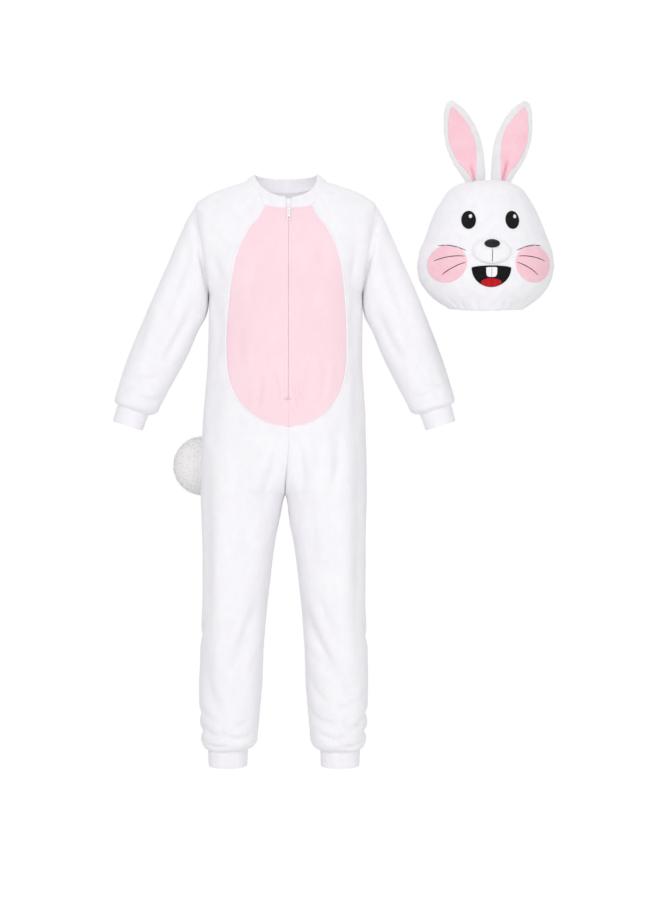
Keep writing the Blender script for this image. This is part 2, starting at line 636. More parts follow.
def jumpsuitGrids():
    # every cloth piece of the jumpsuit: {name: (grid of points, flipped, closed)}
    tip, pit, belly = jumpsuit["tip"], jumpsuit["pit"], jumpsuit["bellyEnd"]
    upper = spacedRows(sideSeam, 0, jumpsuit["upperRows"])
    lower = spacedRows(sideSeam, belly, jumpsuit["lowerRows"])
    outline = bellyOutline(len(upper) - 1)
    bottom = placeOnFront(0.0, jumpsuit["bellyBottom"])[1][0]
    centreRows = lower - (belly - bottom) * (1 - smoothStep(ramp(lower, belly, jumpsuit["levelFrom"])))
    inner = np.concatenate([outline, np.stack([0 * centreRows, centreRows], -1)])
    rows = joined(upper, lower)
    outer = np.stack([np.ones(len(rows)), rows], -1)
    frontShares = clustered(*jumpsuit["frontColumns"])
    backShares = clustered(*jumpsuit["backColumns"])
    front = dipped(ruled(inner, outer, frontShares))
    pink = dipped(ruled(zipSlot(outline), outline, clustered(*jumpsuit["bellyColumns"])))
    back = ruled(np.stack([0 * rows, rows], -1), outer, backShares)
    armRows = rows[(rows > tip - 1e-9) & (rows < pit + 1e-9)]
    turns = np.pi * (armRows - tip) / (pit - tip)
    turns = np.concatenate([turns, 2 * np.pi - turns[-2:0:-1]])
    sleeveRows = spacedRows(sleeveTop, 0, jumpsuit["sleeveRows"])
    wristRows = spacedRows(sleeveTop, jumpsuit["sleeveEnd"], jumpsuit["wristRows"])
    ankleRows = np.linspace(jumpsuit["hem"], jumpsuit["cuffEnd"], jumpsuit["ankleRows"])
    forward = bodyPoint(frontShares[None, :], ankleRows[:, None])
    behind = bodyPoint(backShares[None, :], ankleRows[:, None], back=True)
    ankle = np.concatenate([forward, behind[:, -2:0:-1]], axis=1)
    found = {}
    for side, sign in sides.items():
        other = sign < 0
        shapes = {
            "front": (bodyPoint(front[..., 0], front[..., 1]), other, False),
            "belly": (bodyPoint(pink[..., 0], pink[..., 1]), other, False),
            "back": (bodyPoint(back[..., 0], back[..., 1], back=True), not other, False),
            "sleeve": (sleevePoint(turns[None, :], sleeveRows[:, None]), not other, True),
            "wrist_cuff": (sleevePoint(turns[None, :], wristRows[:, None]), not other, True),
            "ankle_cuff": (ankle, other, True),
        }
        for kind, (points, flip, closed) in shapes.items():
            found[f"{kind}_{side}"] = (mirrored(points, side), flip, closed)
    found["collar"] = (collarGrid(pink[0, :, 0], front[0, :, 0], back[0, :, 0]), True, False)
    return found


collar = {
    # its top edge at the side, in front and behind
    "xSide": 77, "zSide": 38, "ySide": -6, "zFront": -30, "yFront": -82, "zBack": 37, "yBack": 63,
    "bulge": 2.5, "rows": (12, 0.6),
    # half its gap at the top and at the neckline, and the angle at which the top's is measured
    "openTop": 7.5, "openLow": 5.0, "openAngle": 0.3,
}


def collarEdge(across, half):
    # the collar's top edge on the left, a superellipse's quarter from the centre to the shoulder
    angle = across * np.pi / 2
    y = collar["ySide"] + (collar["y" + half] - collar["ySide"]) * np.cos(angle) ** jumpsuit["fuller"]
    climb = 1 - np.cos(angle) if half == "Front" else np.sin(angle) ** 2
    z = collar["z" + half] + (collar["zSide"] - collar["z" + half]) * climb
    return np.stack([collar["xSide"] * np.sin(angle), y, z], -1)


def collarGrid(bellyAcross, frontAcross, backAcross):
    # a band between the neckline and the top edge, bulged by a parabola
    front = np.concatenate([bellyAcross, frontAcross[1:]])
    reach = collar["xSide"] * math.sin(collar["openAngle"])
    raised = collar["openTop"] / reach * collar["openAngle"] / (math.pi / 2)
    remapped = raised + (1 - raised) * (front - front[0]) / (1 - front[0])
    neck = dipped(np.stack([front, 0 * front], -1))
    low = np.concatenate([bodyPoint(neck[:, 0], neck[:, 1]), bodyPoint(backAcross, 0.0, back=True)[-2::-1]])
    high = np.concatenate([collarEdge(remapped, "Front"), collarEdge(backAcross, "Back")[-2::-1]])
    share = clustered(*collar["rows"])[:, None, None]
    outward = (low + high) / 2 * np.array([1, 1, 0])
    outward /= np.linalg.norm(outward, axis=1, keepdims=True)
    left = low + (high - low) * share + outward * collar["bulge"] * 4 * share * (1 - share)
    return np.concatenate([left, mirrored(left, "right")[:, -2::-1]], axis=1)


# Folds and creases of the cloth. Each is a bent line: start, middle and end, then half the width and the
# height (below 0 a trough, which has a low ridge on either side). Front and back are seen along Y (x, z), and
# a leg's outer side along X (y, z).
frontFolds = (
    # right leg, wearer's right: from the inner knee down and outwards
    (-58, -1010, -92, -1105, -142, -1215, 17, -9),
    (-84, -1000, -118, -1085, -150, -1150, 15, -4),
    (-62, -1085, -88, -1140, -120, -1190, 12, -5),
    (-112, -1150, -108, -1215, -128, -1285, 20, -4),
    (-196, -1110, -186, -1230, -150, -1300, 20, -5),
    (-190, -640, -186, -900, -188, -1120, 17, -4.5),
    (-150, -600, -158, -820, -160, -1090, 26, 3),
    (-118, -620, -112, -720, -120, -840, 18, -2.5),
    (-62, -760, -84, -860, -86, -960, 18, -3),
    # folds that smile above the right hem
    (-206, -1325, -172, -1352, -138, -1340, 9, -6),
    (-150, -1345, -118, -1362, -80, -1352, 8, -6),
    (-196, -1372, -165, -1382, -128, -1374, 7, -4),
    (-206, -1285, -186, -1308, -160, -1310, 10, -4),
    (-130, -1318, -104, -1328, -84, -1308, 8, -3.5),
    # left leg
    (42, -1010, 78, -1110, 138, -1208, 17, -9),
    (74, -985, 112, -1080, 152, -1158, 15, -4.5),
    (54, -1130, 84, -1170, 126, -1202, 12, -4.5),
    (60, -1200, 84, -1250, 120, -1268, 11, -4),
    (150, -1205, 162, -1238, 186, -1222, 11, -4.5),
    (190, -640, 186, -900, 186, -1130, 16, -4.5),
    (152, -590, 150, -800, 158, -1060, 26, 3),
    (122, -600, 130, -680, 122, -770, 15, -5),
    (96, -640, 104, -700, 100, -780, 12, 3),
    (62, -800, 78, -900, 90, -960, 18, -3),
    # folds that smile above the left hem
    (62, -1290, 92, -1318, 132, -1320, 9, -5.5),
    (86, -1342, 122, -1362, 160, -1350, 8, -6),
    (150, -1330, 182, -1332, 206, -1302, 9, -5.5),
    (128, -1275, 150, -1286, 172, -1270, 9, -4),
    (140, -1374, 172, -1380, 200, -1366, 7, -4),
    # either side of the crotch seam, and below the belly
    (-20, -612, -34, -690, -52, -775, 13, -5),
    (-44, -640, -62, -700, -74, -790, 14, 2.5),
    (22, -620, 34, -690, 50, -770, 12, -4.5),
    (42, -606, 54, -660, 60, -740, 12, 2.5),
    (-168, -470, -176, -560, -172, -640, 15, -3),
    (172, -440, 178, -530, 170, -630, 14, -3),
    # the pink belly: tucks that run into the end of the zip, and slack at its sides
    (-68, -470, -72, -512, -76, -552, 8, -4.5),
    (-40, -452, -30, -490, -22, -560, 6, -3),
    (15, -474, 22, -517, 34, -570, 8, -5),
    (58, -400, 46, -470, 44, -520, 8, -2.5),
    (86, -420, 92, -460, 82, -520, 8, -3),
    (-108, -330, -116, -400, -106, -470, 13, -2.5),
    (70, -120, 82, -180, 100, -230, 12, -2),
    (-66, -150, -84, -210, -96, -260, 13, -2),
    # torso beside the belly
    (-170, -270, -166, -350, -172, -430, 13, -3.5),
    (168, -260, 166, -350, 170, -420, 12, -3.5),
    (-182, -160, -168, -210, -160, -262, 13, -4),
    (176, -150, 166, -205, 160, -250, 13, -4),
    # the armhole's own crease, from the shoulder down to the armpit
    (-232, -66, -212, -150, -196, -232, 9, -5),
    (232, -64, 214, -150, 196, -232, 9, -5),
    (-208, -170, -200, -215, -191, -266, 5, -7),
    (208, -170, 200, -215, 191, -266, 5, -7),
    (-196, -60, -196, -120, -182, -180, 14, 2.5),
    (198, -58, 196, -120, 184, -176, 14, 2.5),
    # shoulders, from the collar outwards
    (-88, -22, -92, -46, -104, -70, 9, -2.5),
    (86, -20, 94, -44, 106, -68, 9, -2.5),
    (-130, -14, -160, -24, -190, -40, 9, -2),
    (128, -12, 160, -22, 192, -38, 9, -2),
    # right sleeve
    (-228, -118, -262, -230, -318, -372, 16, -4.5),
    (-262, -92, -306, -220, -356, -368, 20, 3.5),
    (-222, -290, -262, -372, -300, -446, 12, -4.5),
    (-250, -300, -288, -380, -330, -452, 11, 2.5),
    (-330, -300, -352, -360, -378, -430, 13, -3),
    (-400, -470, -356, -476, -316, -470, 8, -5),
    (-356, -518, -328, -528, -300, -516, 7, -5),
    (-412, -508, -390, -500, -368, -486, 7, -3),
    (-300, -420, -330, -440, -352, -436, 8, -3),
    # left sleeve
    (232, -124, 266, -240, 322, -380, 15, -4.5),
    (266, -96, 312, -230, 362, -380, 20, 3.5),
    (222, -300, 254, -372, 296, -440, 11, -5),
    (246, -296, 284, -372, 322, -436, 11, 2.5),
    (296, -420, 330, -458, 356, -500, 11, -3.5),
    (322, -470, 362, -484, 404, -478, 8, -4.5),
    (316, -520, 352, -516, 388, -500, 7, -4),
    (388, -440, 400, -470, 414, -492, 8, -2.5),
)
backFolds = (
    # back of the legs: drags from the seat, the bend of the knee and the hem
    (-60, -1000, -98, -1090, -160, -1180, 16, -8),
    (-92, -990, -128, -1060, -168, -1110, 14, -4),
    (-70, -1120, -110, -1150, -150, -1146, 12, -5),
    (60, -1000, 104, -1090, 152, -1190, 16, -8),
    (60, -1096, 96, -1140, 140, -1150, 12, -5),
    (96, -985, 126, -1040, 172, -1090, 14, -4),
    (-150, -812, -96, -788, -40, -768, 15, -6),
    (-140, -850, -92, -826, -50, -820, 13, -4),
    (40, -772, 96, -790, 146, -806, 15, -6),
    (52, -826, 94, -836, 130, -858, 12, -3.5),
    (-206, -1340, -160, -1358, -100, -1346, 9, -6),
    (-190, -1300, -150, -1312, -110, -1300, 10, -4),
    (100, -1342, 150, -1360, 204, -1342, 9, -6),
    (116, -1298, 152, -1308, 190, -1294, 10, -4),
    (-160, -880, -164, -960, -166, -1040, 18, -3),
    (160, -880, 162, -960, 168, -1050, 18, -3),
    # back of the trunk: slack across the waist, and drags from the armholes
    (-152, -436, -40, -462, 60, -448, 15, -6),
    (-60, -402, 50, -418, 150, -398, 14, -5),
    (-120, -500, -20, -516, 90, -498, 14, -4),
    (30, -552, 90, -562, 160, -540, 13, -3.5),
    (-200, -96, -176, -170, -168, -250, 13, -5),
    (198, -100, 178, -168, 168, -244, 13, -5),
    (-150, -330, -110, -290, -70, -280, 14, -3.5),
    (150, -322, 112, -292, 60, -286, 14, -3.5),
    (-100, -50, -130, -60, -168, -86, 12, -2.5),
    (96, -48, 130, -58, 164, -84, 12, -2.5),
    # back of the sleeves
    (-232, -120, -274, -250, -330, -390, 16, -4.5),
    (-264, -300, -300, -372, -330, -430, 12, -4),
    (-404, -476, -360, -484, -318, -474, 8, -5),
    (-360, -430, -330, -420, -300, -426, 9, -4),
    (234, -122, 276, -250, 334, -400, 16, -4.5),
    (250, -306, 290, -380, 326, -436, 12, -4),
    (312, -472, 360, -482, 402, -472, 8, -5),
    (296, -424, 330, -414, 362, -424, 9, -4),
)
outerFolds = (
    # outer sides of the legs
    (-44, -1336, 4, -1352, 50, -1338, 9, -5),
    (-40, -1296, 6, -1306, 40, -1292, 10, -3.5),
    (20, -700, -4, -900, 8, -1100, 24, -3),
    (-50, -1050, -10, -1110, 40, -1130, 15, -4),
    (-52, -560, -20, -640, -28, -740, 18, -2.5),
)
# For each view: its folds, the coordinate across it, the way it faces along Y, and whether it is a leg's
# outer side
foldViews = ((frontFolds, 0, -1, False), (backFolds, 0, 1, False), (outerFolds, 1, 1, True))
foldForm = {
    # heights of a fold's bell and of the wider bell taken from it, how much wider that is, the points of its
    # line, how far it is looked for in half widths, and its powers towards its ends and where the cloth turns
    # away
    "crest": 1.9, "skirt": 0.6, "wider": 2.1, "points": 15, "margin": 3.2, "endPower": 0.7, "turnPower": 0.5,
    "least": 0.02,  # share of the line, and of facing the view, that counts as none
    "legX": 100, "legZ": -520,  # the outer sides of the legs lie beyond and below these
}


def nearestOn(line, spots):
    # how far each spot is from a line of points, and at which share of the line
    best, along = np.full(len(spots), np.inf), np.zeros(len(spots))
    for k in range(len(line) - 1):
        run = line[k + 1] - line[k]
        t = np.clip((spots - line[k]) @ run / (run @ run), 0, 1)
        away = np.linalg.norm(spots - line[k] - t[:, None] * run, axis=1)
        closer = away < best
        best[closer] = away[closer]
        along[closer] = (k + t[closer]) / (len(line) - 1)
    return best, along


def foldDepth(points, normals):
    # each fold falls off as a bell away from its line, less a wider, lower bell that leaves a ridge on either
    # side, and fades at its ends and where the cloth turns away from its view
    depth = np.zeros(len(points))
    share = np.linspace(0, 1, foldForm["points"])[:, None]
    onLeg = (np.abs(points[:, 0]) > foldForm["legX"]) & (points[:, 2] < foldForm["legZ"])
    for folds, coordinate, wayOut, outside in foldViews:
        facing = np.sign(points[:, 0]) * normals[:, 0] * onLeg if outside else wayOut * normals[:, 1]
        flat = points[:, [coordinate, 2]]
        for *corners, width, height in folds:
            line = bentLine(*np.array(corners, float).reshape(3, 2), share)
            margin = foldForm["margin"] * width
            near = (facing > foldForm["least"]) & np.all(flat > line.min(axis=0) - margin, axis=1)
            near &= np.all(flat < line.max(axis=0) + margin, axis=1)
            if not near.any():
                continue
            away, along = nearestOn(line, flat[near])
            along = np.clip(along, foldForm["least"], 1 - foldForm["least"])
            ends = np.sin(np.pi * along) ** foldForm["endPower"]
            turned = np.clip(facing[near], 0, 1) ** foldForm["turnPower"]
            skirt = foldForm["skirt"] * bell(away, foldForm["wider"] * width)
            depth[near] += height * (foldForm["crest"] * bell(away, width) - skirt) * ends * turned
    return depth


# For each kind of piece: its seams as (edge, depth, half width), each on its first or last row or column
seams = {
    "front": (("rowStart", 1.2, 2.6), ("rowEnd", 3.0, 3.0), ("colStart", 0.9, 1.6), ("colEnd", 1.1, 2.6)),
    "back": (("rowStart", 1.2, 2.6), ("rowEnd", 3.0, 3.0), ("colStart", 1.1, 2.6), ("colEnd", 1.1, 2.6)),
    "belly": (("rowStart", 1.2, 2.6), ("colEnd", 1.3, 2.4), ("colStart", 0.3, 1.2)),
    "sleeve": (("rowStart", 1.3, 2.8), ("rowEnd", 3.0, 3.0)),
    "wrist_cuff": (("rowStart", 3.0, 2.4),),
    "ankle_cuff": (("rowStart", 3.0, 2.4),),
    "collar": (("rowStart", 1.1, 2.2), ("colStart", 2.2, 1.8), ("colEnd", 2.2, 1.8)),
}


def edgeReach(points):
    # how far along the cloth each point of a grid is from its first and last row and column
    down = np.linalg.norm(np.diff(points, axis=0), axis=2)
    across = np.linalg.norm(np.diff(points, axis=1), axis=2)
    fromTop = np.concatenate([np.zeros((1, points.shape[1])), np.cumsum(down, axis=0)])
    fromLeft = np.concatenate([np.zeros((points.shape[0], 1)), np.cumsum(across, axis=1)], axis=1)
    return {"rowStart": fromTop, "rowEnd": fromTop[-1:] - fromTop,
            "colStart": fromLeft, "colEnd": fromLeft[:, -1:] - fromLeft}


knitBands = ("collar", "wrist_cuff", "ankle_cuff")
edging = {
    # puckers beside a seam and gathers above a cuff: how far they reach, and how far off they start
    "pucker": (13, 3), "gathers": (16, 5),
    # the belly's middle seam: depth, half width, and how far below the zip it starts
    "shut": (1.2, 1.5, 3),
    # along the front's inner edge: the welt beside the belly and the ridge below it, as height, distance and
    # half width, and the crotch's groove as depth and half width
    "welt": (1.2, 2.9, 1.6), "ridge": (0.8, 3.4, 2.0), "groove": (3.5, 5),
    # rows over which the welt ends and the others begin, distances from the hem over which the ridge comes
    # in, and heights between which the groove comes and goes
    "rows": 3, "offHem": (20, 40), "grooveFrom": (-570, -690), "grooveTo": (-800, -760),
    # the underarm seam: depth, half width, and the sleeve's radius there
    "underarm": (1.0, 2.8, 52),
}


def kindOf(name):
    return name.removesuffix("_right").removesuffix("_left")


def frontEdge(grid, reach, bellyRows):
    # the front's edge is turned under along the belly, and stands up as a thin white welt; below that a low
    # ridge runs along the seam, which sinks into a groove at the crotch
    row = np.repeat(np.arange(grid.shape[0]), grid.shape[1])
    beside = ramp(row, bellyRows + 1, bellyRows + 1 - edging["rows"])
    below = ramp(row, bellyRows, bellyRows + edging["rows"])
    z = grid[..., 2].ravel()
    atCrotch = ramp(z, *edging["grooveFrom"]) * ramp(z, *edging["grooveTo"])
    high, highAt, highHalf = edging["welt"]
    low, lowAt, lowHalf = edging["ridge"]
    drop, dropHalf = edging["groove"]
    away = reach["colStart"]
    welt = beside * high * bell(away - highAt, highHalf)
    ridge = below * ramp(reach["rowEnd"], *edging["offHem"]) * low * bell(away - lowAt, lowHalf)
    return welt - below * atCrotch * drop * bell(away, dropHalf) + ridge


def reliefOf(name, grid, normals, bellyRows):
    # every move of a piece's points along their normals: folds, a slow billow, the pile's unevenness and the
    # seams
    flat = grid.reshape(-1, 3)
    kind = kindOf(name)
    reach = {edge: away.ravel() for edge, away in edgeReach(grid).items()}
    depth = rippled("pile", flat)
    if kind not in knitBands:
        depth += foldDepth(flat, normals) + rippled("billow", flat) + rippled("slack", flat)
    for edge, drop, width in seams[kind]:
        depth -= drop * bell(reach[edge], width)
        if kind not in knitBands:  # the seam draws the cloth up into small puckers
            depth += puckers("seam pucker", flat, reach[edge], *edging["pucker"], 2 * edge.endswith("Start"))
    if kind == "belly":  # sewn shut below the zip
        drop, width, gap = edging["shut"]
        depth -= drop * bell(reach["colStart"], width) * (flat[:, 2] < jumpsuit["zipBottom"] - gap)
    if kind == "front":
        depth += frontEdge(grid, reach, bellyRows)
    if kind == "sleeve":  # the underarm seam, along the inner outline
        drop, width, radius = edging["underarm"]
        turn = np.tile(np.arange(grid.shape[1]) / grid.shape[1], grid.shape[0])
        depth -= drop * bell((turn - 0.5) * 2 * np.pi * radius, width)
    if kind in ("front", "back", "sleeve"):  # gathers where the cloth is eased into the cuff
        depth += puckers("cuff gathers", flat, reach["rowEnd"], *edging["gathers"])
    return depth


def thicknessOf(name, grid):
    # of a panel's wall; a knit band's is rounded off at its open edge, where it is folded over
    if kindOf(name) not in knitBands:
        return np.full(grid.shape[0] * grid.shape[1], jumpsuit["plush"])
    return jumpsuit["rib"] * roundedRim(edgeReach(grid)["rowEnd"].ravel(), *jumpsuit["rim"])


clothFinish = {
    "belly": ("pale pink polyester plush", "pink_plush"), "collar": ("white brushed knit", "white_rib"),
    "wrist_cuff": ("white brushed knit", "white_rib"), "ankle_cuff": ("white brushed knit", "white_rib"),
}
draped = {}  # the finished surface of each piece: its grid of points and of normals


def makeJumpsuit():
    grids = jumpsuitGrids()
    bellyRows = grids["belly_left"][0].shape[0]
    flat = {name: (grid.reshape(-1, 3), gridCells(*grid.shape[:2], flip, closed))
            for name, (grid, flip, closed) in grids.items()}
    normals = normalsOf(flat)
    for name, (points, cells) in flat.items():
        relief = reliefOf(name, grids[name][0], normals[name], bellyRows)
        flat[name] = (points + normals[name] * relief[:, None], cells)
    normals = normalsOf(flat)
    for name, (points, cells) in flat.items():
        kind, grid = kindOf(name), grids[name][0]
        draped[name] = (points.reshape(grid.shape), normals[name].reshape(grid.shape))
        solid, faces = shell(*weld(points, cells, normals[name], thicknessOf(name, grid)))
        finish, slot = clothFinish.get(kind, ("white polyester plush", "white_plush"))
        made = addPiece(f"{name}_cloth", leaning(solid), faces, finish, slot)
        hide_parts(*([name, name.replace("_", "_leg_")] if kind in ("front", "back") else [name]))
    print("jumpsuit", {name: len(points) for name, (points, _) in flat.items()})


makeJumpsuit()


# Sewing: every stitch, coil and satin line is made from one short rounded thread

threadSides = 5
threadShoulder = 0.34  # where a thread's rings are, as a share of its length


def threadForm():
    # a rounded thread of unit length, width and height along the first axis: a pole, two rings and a pole
    j = np.arange(threadSides)
    k = (j + 1) % threadSides
    turn = 2 * np.pi * j / threadSides
    ring = np.stack([0 * turn, np.cos(turn) / 2, np.sin(turn) / 2], -1)
    shoulder = np.array((threadShoulder, 0, 0))
    points = np.concatenate([[(-0.5, 0, 0)], ring - shoulder, ring + shoulder, [(0.5, 0, 0)]])
    second, last = 1 + threadSides, 0 * j + len(points) - 1
    start = np.stack([0 * j, 1 + k, 1 + j, 1 + j], -1)
    middle = np.stack([1 + j, 1 + k, second + k, second + j], -1)
    end = np.stack([second + j, second + k, last, last], -1)
    return points, np.concatenate([start, middle, end])


def threads(centres, run, up, size):
    # one thread at each centre, along run and standing up: its point is centre + run x + side y + up z
    form, cells = threadForm()
    run = unitOf(run)
    up = unitOf(up - run * (run * up).sum(axis=1, keepdims=True))
    side = np.cross(up, run)
    size = np.broadcast_to(np.asarray(size, float), (len(centres), 3))
    x, y, z = (form[None, :, k, None] * size[:, None, k, None] for k in range(3))
    points = centres[:, None] + run[:, None] * x + side[:, None] * y + up[:, None] * z
    cells = cells[None] + len(form) * np.arange(len(centres))[:, None, None]
    return points.reshape(-1, 3), cells.reshape(-1, 4)


def together(*surfaces):
    # several surfaces as one list of points and one of cells
    starts = np.cumsum([0] + [len(points) for points, _ in surfaces[:-1]])
    return (np.concatenate([points for points, _ in surfaces]),
            np.concatenate([cells + start for (_, cells), start in zip(surfaces, starts)]))


def spaced(line, pitch):
    # points pitch apart along a line of points, and the line's own way at each, read half a millimetre either
    # side
    length = alongLength(line)
    where = np.arange(pitch / 2, length[-1], pitch)
    nudge = 0.5
    ahead, behind = interpRows(where + nudge, length, line), interpRows(where - nudge, length, line)
    return interpRows(where, length, line), ahead - behind


# The zip

zipper = {
    "top": -71.5, "end": -522,  # heights of the chain's ends
    # one loop of the coil: its length across, width and height, and how much it slants; then how far apart
    # loops are, how far each half's are off the middle, and how far behind the cloth
    "coil": (3.3, 1.0, 1.2), "coilSlant": 0.16, "pitch": 1.5, "coilAside": 0.95, "coilBehind": 1.65,
    "tapeColumns": (-14, -9, -5, -3, 0, 3, 5, 9, 14), "tapeThick": 0.7, "tapeBehind": 2.75, "tapeEnd": -560,
    # a row of stitches on either side: how far from the middle, one stitch, their pitch and how high they lie
    "seamFrom": 9.5, "stitch": (2.5, 0.6, 0.45), "stitchPitch": 3.3, "stitchLift": 0.05,
    # the bar tack: height, half width, how many threads, one thread, and how far they lie up and down in
    # turn, stand on the cloth and slant
    "tackAt": -526, "tackHalf": 9.5, "tackCount": 37, "tackThread": (5.0, 0.62, 0.9),
    "tackZigzag": 0.2, "tackLift": 0.5, "tackSlant": 0.06,
    "sliderTop": -60, "sliderLong": 11,
}


def onBelly(side, x):
    # the line on a belly panel at a distance x from the centre, with its normals, read from the draped grid's
    # rows
    points, normals = draped[f"belly_{side}"]
    kept = points[:, 0, 2] > zipper["tapeEnd"]
    rows = list(zip(np.abs(points[kept][..., 0]), points[kept], normals[kept]))
    line = [interpRows(x, away, row) for away, row, _ in rows]
    ways = [interpRows(x, away, normal) for away, _, normal in rows]
    return np.array(line), np.array(ways)


def zipLine(heights):
    # the middle of the slot between the belly's edges at these heights, and the way out of the cloth there
    lines = [onBelly(side, 0.0) for side in sides]
    middle = (lines[0][0] + lines[1][0]) / 2
    out = lines[0][1] + lines[1][1]
    out[:, 0] = 0
    middle[:, 0] = 0
    down = -middle[:, 2]
    return interpRows(-heights, down, middle), unitOf(interpRows(-heights, down, out))


def makeCoil():
    # two rows of loops, half a pitch apart
    heights = np.arange(zipper["top"], zipper["end"], -zipper["pitch"])
    loops = []
    for sign in sides.values():
        place, out = zipLine(heights + (zipper["pitch"] / 2 if sign > 0 else 0))
        across = np.tile([1.0, 0, zipper["coilSlant"] * sign], (len(place), 1))
        place = place - out * zipper["coilBehind"] + np.array([sign * zipper["coilAside"], 0, 0])
        loops.append(threads(place, across, out, zipper["coil"]))
    points, cells = together(*loops)
    coil = addPiece("zip_coil", leaning(points), cells, "pink nylon coil", "pink_zip")
    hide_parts("zip_chain")


def makeTape():
    nearCentre = 0.01
    columns = []
    for x in zipper["tapeColumns"]:
        line, ways = onBelly("right" if x < 0 else "left", max(abs(x), nearCentre))
        line = line if x else line * (0, 1, 1)
        columns.append(line - ways * zipper["tapeBehind"])
    grid = np.stack(columns, axis=1)
    flat, cells = grid.reshape(-1, 3), gridCells(*grid.shape[:2])
    points, cells = shell(flat, cells, ownNormals(flat, cells), zipper["tapeThick"])
    tape = addPiece("zip_tape_cloth", leaning(points), cells, "pink woven tape", "pink_zip")
    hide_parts("zip_tape")


def makeBarTack():
    count = zipper["tackCount"]
    place, out = zipLine(np.full(count, float(zipper["tackAt"])))
    zigzag = zipper["tackZigzag"] * (1 - 2 * (np.arange(count) % 2))
    place = place + np.stack([np.linspace(-1, 1, count) * zipper["tackHalf"], np.zeros(count), zigzag], -1)
    place += out * (jumpsuit["plush"] / 2 + zipper["tackLift"])
    upright = np.cross(out, np.tile([1.0, 0, 0], (count, 1))) + np.array([zipper["tackSlant"], 0, 0])
    points, cells = threads(place, upright, out, zipper["tackThread"])
    tack = addPiece("bar_tack_thread", leaning(points), cells, "pink polyester thread", "pink_zip")
    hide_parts("bar_tack")


def makeZipStitches():
    rows = []
    for side in sides:
        line, ways = onBelly(side, zipper["seamFrom"])
        place, run = spaced(line, zipper["stitchPitch"])
        out = interpRows(-place[:, 2], -line[:, 2], ways)
        place = place + out * (jumpsuit["plush"] / 2 + zipper["stitchLift"])
        rows.append(threads(place, run, out, zipper["stitch"]))
    points, cells = together(*rows)
    addPiece("zip_stitches", leaning(points), cells, "pink polyester thread", "pink_zip")


guard = {
    "halfWidth": 11, "thickness": 1.6, "rim": (1.4, 0.05), "rows": 28, "columns": 13,
    # how far it is behind the cloth above and below these two heights
    "topBehind": 3.5, "behind": 3.9, "deepens": (-40, -60),
    # its top end, as a share of the way from the collar's edge to the slider, and its lower end's height
    "below": 0.07, "end": -74,
}


def makeGuard():
    # a strip down the middle: a smooth curve through four points, as wide all the way down
    rows, columns = guard["rows"], guard["columns"]
    low, _ = zipLine(np.array([float(zipper["sliderTop"]), float(guard["end"])]))
    edge = collarEdge(np.array([0.0]), "Front")[0]
    middle = (low[0] + edge) / 2 - np.array([0, collar["bulge"], 0])
    knots = np.array([edge - (edge - low[0]) * guard["below"], middle, low[0], low[1]])
    where = np.linspace(0, len(knots) - 1, rows)
    line = np.stack([smoothCurve(np.arange(len(knots)), knots[:, k], where) for k in range(3)], -1)
    x = np.linspace(-1, 1, columns)
    wide = np.tile(x * guard["halfWidth"], (rows, 1))
    grid = np.stack([wide, np.tile(line[:, 1:2], columns), np.tile(line[:, 2:3], columns)], -1)
    flat, cells = grid.reshape(-1, 3), gridCells(rows, columns)
    thick = guard["thickness"] * roundedRim(np.tile(1 - np.abs(x), rows) * guard["halfWidth"], *guard["rim"])
    deeper = ramp(flat[:, 2], *guard["deepens"])  # it goes under the tape at the neckline
    behind = guard["topBehind"] + (guard["behind"] - guard["topBehind"]) * deeper
    points, cells = shell(flat, cells, ownNormals(flat, cells), thick, -behind)
    made = addPiece("zip_guard_cloth", leaning(points), cells, "white brushed knit", "white_rib")
    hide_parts("zip_guard")


slider = {
    # low and high corners of each block: across, out of the cloth and down along the zip
    "body": (
        ((-4.2, 1.55, -5.5), (4.2, 3.95, 5.5)),
        ((-0.9, 3.6, -3.6), (0.9, 7.05, -2.5)),
        ((-0.9, 3.6, 2.5), (0.9, 7.05, 3.6)),
        ((-0.9, 6.05, -3.6), (0.9, 7.05, 3.6)),
        ((-1.0, 0.0, -4.5), (1.0, 1.7, 4.5)),
    ),
    "pull": (
        ((-3.3, 4.5, -0.5), (3.3, 5.5, 0.5)),
        ((-3.3, 4.45, -0.5), (-1.8, 5.55, 5.2)),
        ((1.8, 4.45, -0.5), (3.3, 5.55, 5.2)),
        ((-3.3, 4.45, 4.6), (3.3, 5.55, 20.7)),
        ((-3.3, 4.45, 20.0), (-1.5, 5.55, 25.6)),
        ((1.5, 4.45, 20.0), (3.3, 5.55, 25.6)),
        ((-3.3, 4.45, 24.8), (3.3, 5.55, 27.0)),
    ),
    "eyes": (((-1.25, 4.85, 9.9), (1.25, 5.75, 12.5)), ((-1.45, 4.6, 21.3), (1.45, 5.3, 24.2))),
    "taper": 0.25, "round": 0.32, "eyeRound": 0.8, "facets": (17, 28),
    "slope": 5.0,  # its slope is the cloth's, this far above and below its middle
}


def signedPower(value, power):
    return np.sign(value) * np.abs(value) ** power


def sphereTurns(low, high, rings, spokes):
    # the two angles of a sphere's points: pole to pole, and round
    around = np.linspace(0, 2 * np.pi, spokes, endpoint=False)
    return np.meshgrid(np.linspace(low, high, rings), around, indexing="ij")


